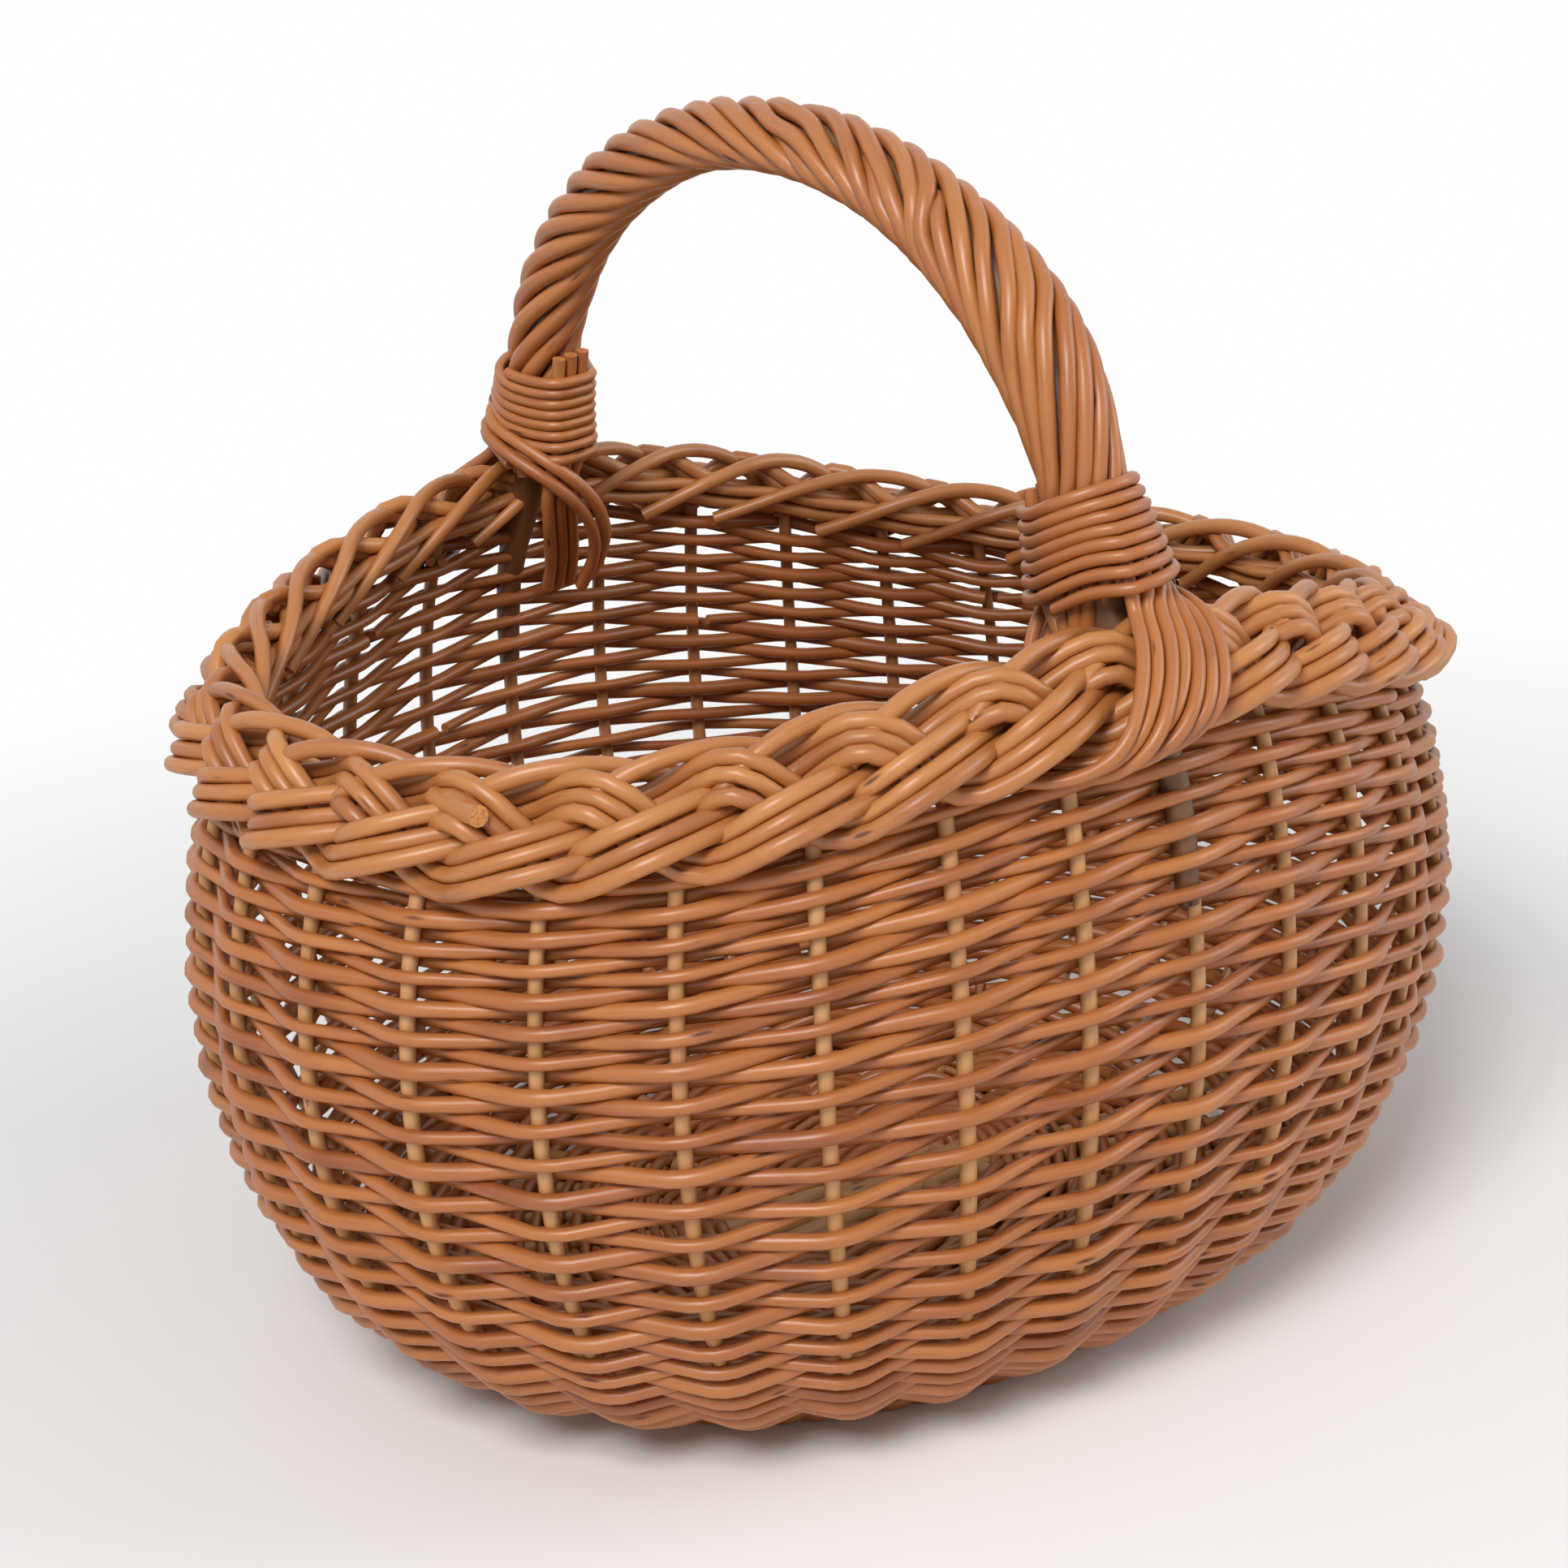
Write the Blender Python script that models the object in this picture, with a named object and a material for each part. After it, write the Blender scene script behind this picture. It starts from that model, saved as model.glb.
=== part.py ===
"""Oval willow foraging basket with a roped bow handle, rod by rod.

Metres, +Z up. X runs along the oval and the bow handle stands across it. The basket stands on the
flattened underside of its foot wale, at Z = 0. A "turn" is a place round the oval, from 0 to 1 by
length from its +X end. A "climb" is a place on the woven sheet, from 0 at the rim of the base's heart,
out across the base and up the wall, to 1 where the stakes end under the border.
"""
import math

import bpy
import bmesh
import numpy as np
from mathutils import Vector

# Oval and rim line: the rim dips at the long ends, leans down to +X and has soft shoulders
RIM_LENGTH = 0.370
RIM_WIDTH = 0.298
RIM_HEIGHT = 0.1985
RIM_SADDLE = 0.0145
RIM_LEAN = 0.0098
RIM_SHOULDER = 0.0038
OVAL_POWER = 2.08

# Woven sheet, as shares of the rim's oval and of the wall's height
WALL_OUT_SHARES = (0.68, 0.99, 1.17, 0.963)
WALL_RISE_SHARES = (0.0, 0.02, 0.565, 1.0)
HEART_SHARE = 0.42
STICK_END_SHARE = 0.414
BASE_WEAVE_SHARES = (0.445, 0.625)
FOOT_SHARE = 0.68
STAKE_TOP_DROP = 0.0091
SIDING_TOP_DROP = 0.0215

# Stakes, weavers and the air between rods that press on each other
STAKE_COUNT = 31
STAKE_DIAMETER = 0.0044
STAKE_STEPS = 10
BEND_SHARE = 0.3
WEAVER_DIAMETER = 0.0052
BASE_WEAVER_DIAMETER = 0.0034
ROD_GAP = 0.00038
BASE_ROWS = 5
SIDING_NAMES = ("siding_lower", "siding_belly", "siding_middle", "siding_upper")
ROWS_PER_SIDING = 6

# Heart of the base
LONG_STICK_DIAMETER = 0.0052
SHORT_STICK_DIAMETER = 0.0046
SHORT_STICK_SINK = 0.00015
LONG_STICKS = 3
SHORT_STICKS = 5
LONG_STICK_SPACING = 0.0090
SHORT_STICK_SPACING = 0.0190
KNEE_CLEARANCE = 0.0065
HEART_WEAVERS = 2
HEART_ROUNDS = 2
HEART_WEAVE_SHARES = (0.31, 0.97)

# Foot wale
FOOT_DIAMETER = 0.0088
FOOT_FLAT_DEPTH = 0.0005
FOOT_STEPS = 36

# Border plait
BORDER_WIDTH = 0.0314
BORDER_DEPTH = 0.0224
BORDER_STRAND_DIAMETER = 0.0084
BORDER_TILT = math.radians(42.0)
BORDER_STRANDS = 3
BORDER_STEPS = 8

# Bow
HANDLE_SHIFT = -0.0098
LEG_INSET = 0.0254
SPRING_CLEARANCE = 0.0238
HANDLE_RISE = 0.1010
BOW_DIAMETER = 0.0130
BOW_TIP_DIAMETER = 0.0064
BOW_TIP_DROP = 0.062
BOW_LEG_STEPS = 6
BOW_ARCH_STEPS = 14
LEG_SWEEP_POWER = 2.2

# Rods roped round the bow, and the fan that ties them over the border
ROPE_RODS = 9
ROPE_ROD_DIAMETER = 0.0048
ROPE_STEPS = 33
ROPE_TURNS = 3
ROPE_SLACK = 0.0007
ROPE_STEP_LENGTH = 0.020
LAY_NEAR = math.radians(9.0)
LAY_TOP = math.radians(40.0)
LAY_FAR = math.radians(22.0)
FAN_SPACING = 0.0066
FAN_FLARE = 0.0025
FAN_DROP = 0.0016
FAN_LEAN = -0.007
FAN_REACH = math.radians(85.0)
FAN_START = math.radians(108.0)
FAN_END = math.radians(-45.0)

# Bindings, and the pegs that they hold on the inner side of each leg
BINDING_DIAMETER = 0.0032
BINDING_TURNS = 7
BINDING_PITCH = 0.0037
BINDING_STEPS = 10
BINDING_LIFT = 0.0028
BINDING_SLACK = 0.0019
PEG_DIAMETER = 0.0040
PEG_SLACK = 0.0016
PEGS = 3
PEG_STAND = 0.009
PEG_DROP = 0.002
PEG_TAIL_DROP = 0.040
PEG_SPREADS = (0.0048, 0.0075, 0.0105)

# Colours and finish
WEAVER_COLOUR = (0.52, 0.235, 0.075)
STAKE_COLOUR = (0.66, 0.37, 0.15)
BORDER_COLOUR = (0.60, 0.30, 0.105)
BOW_COLOUR = (0.30, 0.15, 0.06)
ROPE_COLOUR = (0.56, 0.26, 0.085)
WILLOW_ROUGHNESS = 0.42

# Steps of the measuring tables, and the weld of a rod's caps
OVAL_SAMPLES = 720
SHEET_SAMPLES = 60
HANDLE_SAMPLES = 400
NORMAL_STEP = 0.004
WELD = 0.00001


def oval(angle):
    """Unit oval, a little squarer than an ellipse."""
    c, s = math.cos(angle), math.sin(angle)
    reach = (abs(c) ** OVAL_POWER + abs(s) ** OVAL_POWER) ** (-1 / OVAL_POWER)
    return reach * c, reach * s


def measured(points):
    """Length along a row of points, from 0 to 1, and the whole length."""
    steps = np.linalg.norm(np.diff(np.array(points), axis=0), axis=1)
    length = np.concatenate(([0.0], np.cumsum(steps)))
    return length / length[-1], length[-1]


OVAL_ANGLES = np.linspace(0, 2 * math.pi, OVAL_SAMPLES + 1)
OVAL_TURNS, RIM_GIRTH = measured([(RIM_LENGTH / 2 * oval(t)[0], RIM_WIDTH / 2 * oval(t)[1])
                                  for t in OVAL_ANGLES])
BASE_LEVEL = FOOT_DIAMETER - FOOT_FLAT_DEPTH + ROD_GAP + STAKE_DIAMETER / 2
MEAN_REACH = (RIM_LENGTH + RIM_WIDTH) / 4
MEAN_RISE = RIM_HEIGHT - STAKE_TOP_DROP - BASE_LEVEL


def angle_at(turn):
    return float(np.interp(turn % 1.0, OVAL_TURNS, OVAL_ANGLES))


def rim_height(angle):
    return (RIM_HEIGHT - RIM_SADDLE * math.cos(2 * angle) - RIM_LEAN * math.cos(angle)
            + RIM_SHOULDER * math.cos(4 * angle))


def bezier(shares, t):
    a, b, c, d = shares
    return (1 - t) ** 3 * a + 3 * t * (1 - t) ** 2 * b + 3 * t * t * (1 - t) * c + t ** 3 * d


def sheet_table():
    """Out and rise shares along the woven sheet: flat across the base, then up the bellied wall."""
    rows = [(HEART_SHARE, 0.0)]
    for step in range(SHEET_SAMPLES + 1):
        t = step / SHEET_SAMPLES
        rows.append((bezier(WALL_OUT_SHARES, t), bezier(WALL_RISE_SHARES, t)))
    return np.array(rows)


SHEET = sheet_table()
SHEET_CLIMBS, SHEET_LENGTH = measured(SHEET * (MEAN_REACH, MEAN_RISE))


def sheet_point(turn, climb):
    angle = angle_at(turn)
    x, y = oval(angle)
    out = float(np.interp(climb, SHEET_CLIMBS, SHEET[:, 0]))
    rise = float(np.interp(climb, SHEET_CLIMBS, SHEET[:, 1]))
    height = rim_height(angle) - STAKE_TOP_DROP - BASE_LEVEL
    return Vector((RIM_LENGTH / 2 * out * x, RIM_WIDTH / 2 * out * y, BASE_LEVEL + rise * height))


def sheet_normal(turn, climb):
    """Outward from the basket: down under the base, sideways on the wall."""
    low, high = max(climb - NORMAL_STEP, 0.0), min(climb + NORMAL_STEP, 1.0)
    along = sheet_point(turn + NORMAL_STEP, climb) - sheet_point(turn - NORMAL_STEP, climb)
    up = sheet_point(turn, high) - sheet_point(turn, low)
    return along.cross(up).normalized()


def climb_at_share(share):
    """The climb where the sheet has this share of the rim's oval, on its way out to the belly."""
    belly = int(np.argmax(SHEET[:, 0]))
    return float(np.interp(share, SHEET[:belly, 0], SHEET_CLIMBS[:belly]))


def climb_at_drop(turn, drop):
    """The climb that lies this far below the rim line."""
    height = rim_height(angle_at(turn)) - drop
    climbs = np.linspace(0.5, 1.0, SHEET_SAMPLES)
    heights = [sheet_point(turn, c).z for c in climbs]
    return float(np.interp(height, heights, climbs))


def willow(name, colour):
    material = bpy.data.materials.new(name)
    material.use_nodes = True
    shader = material.node_tree.nodes["Principled BSDF"]
    shader.inputs["Base Color"].default_value = (*colour, 1.0)
    shader.inputs["Roughness"].default_value = WILLOW_ROUGHNESS
    shader.inputs["Metallic"].default_value = 0.0
    return material


def rod(name, points, diameter, colour, sides=4, thickness=None, closed=False):
    """One willow rod along its points, with flat cut ends. Thickness gives each point's share."""
    data = bpy.data.curves.new(name, "CURVE")
    data.dimensions = "3D"
    data.bevel_depth = diameter / 2
    data.bevel_resolution = sides // 2 - 2
    data.use_fill_caps = not closed
    spline = data.splines.new("POLY")
    spline.points.add(len(points) - 1)
    for index, place in enumerate(points):
        spline.points[index].co = (*place, 1.0)
        spline.points[index].radius = thickness[index] if thickness else 1.0
    spline.use_cyclic_u = closed
    made = bpy.data.objects.new(name, data)
    data.materials.append(willow(name, colour))
    PARTS.objects.link(made)
    return made


def meshed(made):
    """The same rod as a welded mesh, for a cut or a union."""
    bpy.context.view_layer.update()
    evaluated = made.evaluated_get(bpy.context.evaluated_depsgraph_get())
    mesh = bpy.data.meshes.new_from_object(evaluated)
    shell = bmesh.new()
    shell.from_mesh(mesh)
    bmesh.ops.remove_doubles(shell, verts=shell.verts, dist=WELD)
    bmesh.ops.recalc_face_normals(shell, faces=shell.faces)
    shell.to_mesh(mesh)
    shell.free()
    name = made.name
    bpy.data.objects.remove(made)
    solid = bpy.data.objects.new(name, mesh)
    PARTS.objects.link(solid)
    return solid


def boolean(target, tool, operation):
    modifier = target.modifiers.new(operation.title(), "BOOLEAN")
    modifier.object = tool
    modifier.operation = operation
    modifier.solver = "EXACT"
    if tool.name not in GUIDES.objects:
        for home in tool.users_collection:
            home.objects.unlink(tool)
        GUIDES.objects.link(tool)
    tool.hide_render = True
    tool.display_type = "WIRE"


def least_gap(points, diameter):
    """Air between a wound rod and its own other turns, measured between points a turn or more apart."""
    places = np.array([tuple(p) for p in points])
    reach = np.linalg.norm(places[:, None] - places[None], axis=2)
    apart = np.abs(np.subtract.outer(np.arange(len(places)), np.arange(len(places))))
    return float(reach[apart > 3].min() - diameter)


def stake_climbs():
    """Places of a stake's bends: one where the base ends, then closer together where it turns up."""
    run = np.diff(SHEET * (MEAN_REACH, MEAN_RISE), axis=0)
    bend = np.concatenate(([0.0], np.cumsum(np.abs(np.diff(np.arctan2(run[:, 1], run[:, 0])))), [0.0]))
    bend[-1] = bend[-2]
    marks = SHEET_CLIMBS + BEND_SHARE * bend
    stops = np.concatenate(([0.0], np.linspace(marks[1], marks[-1], STAKE_STEPS)))
    return np.interp(stops, marks, SHEET_CLIMBS)


STAKE_CLIMBS = stake_climbs()


def stake_point(turn, climb):
    """A place on the stake itself, which runs straight from bend to bend."""
    after = int(np.clip(np.searchsorted(STAKE_CLIMBS, climb), 1, STAKE_STEPS))
    low, high = STAKE_CLIMBS[after - 1], STAKE_CLIMBS[after]
    share = (climb - low) / (high - low)
    return sheet_point(turn, low).lerp(sheet_point(turn, high), share)


def crossing_offset(turn, climb, weaver_diameter):
    """How far a weaver's middle stands off a stake's middle, so that its slanting runs clear the stake."""
    reach = (STAKE_DIAMETER + weaver_diameter) / 2 + ROD_GAP
    spacing = (sheet_point(turn + 1 / STAKE_COUNT, climb) - sheet_point(turn, climb)).length
    return reach / math.sqrt(1 - (2 * reach / spacing) ** 2)


def woven_row_points(climb_span, total_rows, first_row, rows, weaver_diameter):
    """One weaver that climbs steadily, in front of one stake and behind the next."""
    points = []
    for step in range(rows * STAKE_COUNT):
        crossing = first_row * STAKE_COUNT + step
        turn = crossing / STAKE_COUNT
        climb = climb_span[0] + (climb_span[1] - climb_span[0]) * turn / total_rows
        side = 1 if crossing % 2 == 0 else -1
        offset = side * crossing_offset(turn, climb, weaver_diameter)
        points.append(stake_point(turn, climb) + offset * sheet_normal(turn, climb))
    return points


def make_stakes():
    for index in range(STAKE_COUNT):
        points = [sheet_point(index / STAKE_COUNT, climb) for climb in STAKE_CLIMBS]
        rod(f"stake_{index + 1:02d}", points, STAKE_DIAMETER, STAKE_COLOUR)


def make_base_weave():
    span = [climb_at_share(share) for share in BASE_WEAVE_SHARES]
    points = woven_row_points(span, BASE_ROWS, 0, BASE_ROWS, BASE_WEAVER_DIAMETER)
    rod("base_weave", points, BASE_WEAVER_DIAMETER, WEAVER_COLOUR)


def make_siding():
    """Four runs of weavers, each taking up where the last one ended behind a stake."""
    clearance = (FOOT_DIAMETER + WEAVER_DIAMETER) / 2 + ROD_GAP
    first = climb_at_share(FOOT_SHARE) + clearance / SHEET_LENGTH * 2 * MEAN_REACH / RIM_WIDTH
    last = climb_at_drop(0.0, SIDING_TOP_DROP)
    total = ROWS_PER_SIDING * len(SIDING_NAMES)
    for index, name in enumerate(SIDING_NAMES):
        points = woven_row_points((first, last), total, index * ROWS_PER_SIDING, ROWS_PER_SIDING,
                                  WEAVER_DIAMETER)
        rod(name, points, WEAVER_DIAMETER, WEAVER_COLOUR)


def heart_spokes():
    """Knee and end of each stick's arm, counted round the heart from +X."""
    half_long, half_short = LONG_STICKS // 2, SHORT_STICKS // 2
    knee_x = half_short * SHORT_STICK_SPACING + KNEE_CLEARANCE
    knee_y = half_long * LONG_STICK_SPACING + KNEE_CLEARANCE
    knees = [(knee_x, i * LONG_STICK_SPACING) for i in range(0, half_long + 1)]
    knees += [(i * SHORT_STICK_SPACING, knee_y) for i in range(half_short, -half_short - 1, -1)]
    knees += [(-knee_x, i * LONG_STICK_SPACING) for i in range(half_long, -half_long - 1, -1)]
    knees += [(i * SHORT_STICK_SPACING, -knee_y) for i in range(-half_short, half_short + 1)]
    knees += [(knee_x, i * LONG_STICK_SPACING) for i in range(-half_long, 0)]
    spokes = []
    for index, (x, y) in enumerate(knees):
        u, v = oval(angle_at(index / len(knees)))
        end = Vector((RIM_LENGTH / 2 * STICK_END_SHARE * u, RIM_WIDTH / 2 * STICK_END_SHARE * v,
                      BASE_LEVEL))
        spokes.append((Vector((x, y, BASE_LEVEL)), end))
    return spokes


def make_heart():
    """Sticks pierced through one another and fused where they cross, and two weavers round them."""
    spokes = heart_spokes()
    count = len(spokes)
    half_long, half_short = LONG_STICKS // 2, SHORT_STICKS // 2
    first_short = half_long + 1
    pairs = [(i % count, (count // 2 - i) % count) for i in range(-half_long, half_long + 1)]
    pairs += [(first_short + i, (count - first_short - i) % count) for i in range(SHORT_STICKS)]
    sticks = []
    for number, (one, other) in enumerate(pairs):
        route = [spokes[one][1], spokes[one][0], spokes[other][0], spokes[other][1]]
        name = "base_sticks" if number == 0 else f"stick_tool_{number}"
        diameter = LONG_STICK_DIAMETER if number < LONG_STICKS else SHORT_STICK_DIAMETER
        sink = Vector((0, 0, 0 if number < LONG_STICKS else SHORT_STICK_SINK))
        sticks.append(meshed(rod(name, [place - sink for place in route], diameter, STAKE_COLOUR)))
    for tool in sticks[1:]:
        boolean(sticks[0], tool, "UNION")
    reach = (LONG_STICK_DIAMETER + BASE_WEAVER_DIAMETER) / 2 + ROD_GAP
    rows = HEART_WEAVERS * HEART_ROUNDS + HEART_WEAVERS - 1
    near, far = HEART_WEAVE_SHARES
    for weaver in range(HEART_WEAVERS):
        points = []
        for step in range(HEART_ROUNDS * count):
            row = HEART_WEAVERS * step / count + weaver
            share = near + (far - near) * row / rows
            places = [spokes[(step + ahead) % count][0].lerp(spokes[(step + ahead) % count][1], share)
                      for ahead in (-1, 0, 1)]
            spacing = min((places[1] - places[0]).length, (places[2] - places[1]).length)
            side = 1 if (step + weaver) % 2 == 0 else -1
            rise = side * reach / math.sqrt(1 - (2 * reach / spacing) ** 2)
            points.append(places[1] + Vector((0, 0, rise)))
        rod(f"heart_weaver_{weaver + 1}", points, BASE_WEAVER_DIAMETER, WEAVER_COLOUR)


def make_foot():
    """The wale that the basket stands on, a ring under the turn-up, cut flat below."""
    points = []
    for step in range(FOOT_STEPS):
        u, v = oval(angle_at(step / FOOT_STEPS))
        points.append(Vector((RIM_LENGTH / 2 * FOOT_SHARE * u, RIM_WIDTH / 2 * FOOT_SHARE * v,
                              FOOT_DIAMETER / 2 - FOOT_FLAT_DEPTH)))
    foot = meshed(rod("foot_wale", points, FOOT_DIAMETER, WEAVER_COLOUR, sides=8, closed=True))
    bpy.ops.mesh.primitive_cube_add(size=RIM_LENGTH, location=(0, 0, -RIM_LENGTH / 2))
    floor = bpy.context.object
    floor.name = "floor_cut"
    boolean(foot, floor, "DIFFERENCE")


def border_frame(turn):
    """Middle of the plait and its two directions: across it, out and down, and square off its face."""
    def middle(place):
        angle = angle_at(place)
        x, y = oval(angle)
        return Vector((RIM_LENGTH / 2 * x, RIM_WIDTH / 2 * y, rim_height(angle)))
    along = (middle(turn + NORMAL_STEP) - middle(turn - NORMAL_STEP)).normalized()
    out = along.cross(Vector((0, 0, 1))).normalized()
    up = out.cross(along).normalized()
    across = out * math.cos(BORDER_TILT) - up * math.sin(BORDER_TILT)
    face = out * math.sin(BORDER_TILT) + up * math.cos(BORDER_TILT)
    return middle(turn), across, face


BORDER_SWING = (BORDER_WIDTH - BORDER_STRAND_DIAMETER) / 2
BORDER_LIFT = (BORDER_DEPTH - BORDER_STRAND_DIAMETER) / 2


def make_border():
    """A three-strand plait whose strand goes three times round: one repeat of its face at each stake."""
    total = STAKE_COUNT * BORDER_STEPS
    points = []
    for step in range(total):
        phase = 2 * math.pi * (step + 0.5) / BORDER_STEPS
        middle, across, face = border_frame(BORDER_STRANDS * step / total)
        swing = across * BORDER_SWING * math.sin(phase)
        lift = face * BORDER_LIFT * -math.sin(2 * phase)
        points.append(middle + swing + lift)
    rod("border_plait", points, BORDER_STRAND_DIAMETER, BORDER_COLOUR, sides=6, closed=True)


def turn_at_handle(side):
    """Where the handle's plane meets the rim line: side -1 is the near foot at -Y, 1 the far one."""
    half = len(OVAL_ANGLES) // 2 + 1
    across = [RIM_LENGTH / 2 * oval(angle)[0] for angle in OVAL_ANGLES[:half]]
    far = float(np.interp(-HANDLE_SHIFT, [-x for x in across], OVAL_TURNS[:half]))
    return far if side > 0 else 1 - far


NEAR_TURN, FAR_TURN = turn_at_handle(-1), turn_at_handle(1)
LEG_REACH = RIM_WIDTH / 2 * oval(angle_at(FAR_TURN))[1] - LEG_INSET
HANDLE_SPRING = rim_height(angle_at(FAR_TURN)) + SPRING_CLEARANCE


def foot_turn(side):
    return FAR_TURN if side > 0 else NEAR_TURN


def handle_middle(angle):
    """Middle of the roped part, from the near leg at 0 to the far leg at pi."""
    height = HANDLE_SPRING + HANDLE_RISE * math.sin(angle)
    return Vector((HANDLE_SHIFT, -LEG_REACH * math.cos(angle), height))


def handle_outward(angle):
    return Vector((0, -HANDLE_RISE * math.cos(angle), LEG_REACH * math.sin(angle))).normalized()


def inner_wall(turn, drop, rod_diameter):
    """Place for a rod that lies on the inner face of the siding, this far below the rim."""
    climb = climb_at_drop(turn, drop)
    depth = crossing_offset(turn, climb, WEAVER_DIAMETER) + (WEAVER_DIAMETER + rod_diameter) / 2 + ROD_GAP
    return sheet_point(turn, climb) - depth * sheet_normal(turn, climb)


def leg_y(side, height):
    """The leg runs straight down past the border, then sweeps out to the siding."""
    tip = inner_wall(foot_turn(side), BOW_TIP_DROP, BOW_TIP_DIAMETER)
    share = max((HANDLE_SPRING - height) / (HANDLE_SPRING - tip.z), 0.0)
    return side * (LEG_REACH + (abs(tip.y) - LEG_REACH) * share ** LEG_SWEEP_POWER), tip.z


def make_bow():
    points, thickness = [], []
    tip_share = BOW_TIP_DIAMETER / BOW_DIAMETER
    for side in (-1, 1):
        leg = []
        low = leg_y(side, HANDLE_SPRING)[1]
        for step in range(BOW_LEG_STEPS):
            share = step / BOW_LEG_STEPS
            height = low + (HANDLE_SPRING - low) * share
            place = Vector((HANDLE_SHIFT, leg_y(side, height)[0], height))
            leg.append((place, tip_share + (1 - tip_share) * share))
        if side < 0:
            arch = [(handle_middle(math.pi * step / BOW_ARCH_STEPS), 1.0)
                    for step in range(BOW_ARCH_STEPS + 1)]
            path = leg + arch
        else:
            path += reversed(leg)
    for place, share in path:
        points.append(place)
        thickness.append(share)
    rod("handle_bow", points, BOW_DIAMETER, BOW_COLOUR, sides=8, thickness=thickness)


def rope_table():
    """Angle along the handle, rope phase and length, worked out from the lay of the rods."""
    angles = np.linspace(0, math.pi, HANDLE_SAMPLES + 1)
    lengths, total = measured([tuple(handle_middle(a)) for a in angles])
    top = math.tan(LAY_TOP)
    ends = math.tan(LAY_NEAR) * (1 - lengths) + math.tan(LAY_FAR) * lengths
    lay = ends + (top - ends) * np.sin(math.pi * lengths) ** 2
    phase = np.concatenate(([0.0], np.cumsum((lay[1:] + lay[:-1]) / 2)))
    phase *= 2 * math.pi * ROPE_TURNS / phase[-1]
    marks = phase + lengths * total / ROPE_STEP_LENGTH
    stops = np.linspace(0, marks[-1], ROPE_STEPS + 1)
    return list(zip(np.interp(stops, marks, angles).tolist(), np.interp(stops, marks, phase).tolist()))


ROPE_RADIUS = (BOW_DIAMETER + ROPE_ROD_DIAMETER) / 2 + ROD_GAP + ROPE_SLACK


def fan_points(side, place):
    """Over the border's face and round its outer edge, ending under it; the near one starts there."""
    turn_shift = side * place / RIM_GIRTH
    core_w = BORDER_SWING * math.sin(math.pi * 3 / BORDER_STEPS)
    core_f = BORDER_LIFT * math.sin(math.pi * 2 / BORDER_STEPS)
    reach = (BORDER_STRAND_DIAMETER + ROPE_ROD_DIAMETER) / 2 + ROD_GAP
    stops = [(-core_w, core_f, FAN_START), (-core_w, core_f, math.pi / 2), (core_w, core_f, math.pi / 2),
             (core_w, core_f, math.pi / 4), (core_w, core_f, 0.0), (core_w, -core_f, 0.0),
             (core_w, -core_f, FAN_END)]
    points = []
    for number, (w, f, angle) in enumerate(stops):
        lean = side * FAN_LEAN * (number / (len(stops) - 1)) ** 2 / RIM_GIRTH
        middle, across, face = border_frame(foot_turn(side) - turn_shift - lean)
        over = across * (w + reach * math.cos(angle))
        off = face * (f + reach * math.sin(angle))
        points.append(middle + over + off)
    return points if side > 0 else points[::-1]


def make_rope():
    table = rope_table()
    for index in range(ROPE_RODS):
        start = 2 * math.pi * index / ROPE_RODS
        points = []
        for angle, phase in table:
            outward = handle_outward(angle)
            turn = start + phase
            points.append(handle_middle(angle) + ROPE_RADIUS * (outward * math.cos(turn)
                                                                + Vector((math.sin(turn), 0, 0))))
        facing = (start + math.pi) % (2 * math.pi) - math.pi
        if abs(facing) < FAN_REACH:
            rank = facing / (2 * math.pi / ROPE_RODS)
            flare = (ROPE_RADIUS + FAN_FLARE) * Vector((math.sin(start), math.cos(start), 0))
            low = Vector((HANDLE_SHIFT, LEG_REACH, HANDLE_SPRING - FAN_DROP)) + flare
            near = fan_points(-1, rank * FAN_SPACING) + [Vector((low.x, -low.y, low.z))]
            far = [low] + fan_points(1, rank * FAN_SPACING)
            points = near + points[1:-1] + far
        rod(f"rope_rod_{index + 1}", points, ROPE_ROD_DIAMETER, ROPE_COLOUR)


def leg_frame(side):
    """Foot of the binding, and its directions up the leg, outward and along X."""
    base_angle = math.asin((BINDING_LIFT) / HANDLE_RISE)
    top_angle = math.asin((BINDING_LIFT + BINDING_TURNS * BINDING_PITCH) / HANDLE_RISE)
    if side > 0:
        base_angle, top_angle = math.pi - base_angle, math.pi - top_angle
    foot, head = handle_middle(base_angle), handle_middle(top_angle)
    up = (head - foot).normalized()
    outward = Vector((1, 0, 0)).cross(up).normalized()
    if outward.y * side < 0:
        outward = -outward
    return foot, up, outward


PEG_DEPTH = ROPE_RADIUS + (ROPE_ROD_DIAMETER + PEG_DIAMETER) / 2 + ROD_GAP + PEG_SLACK


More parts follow.
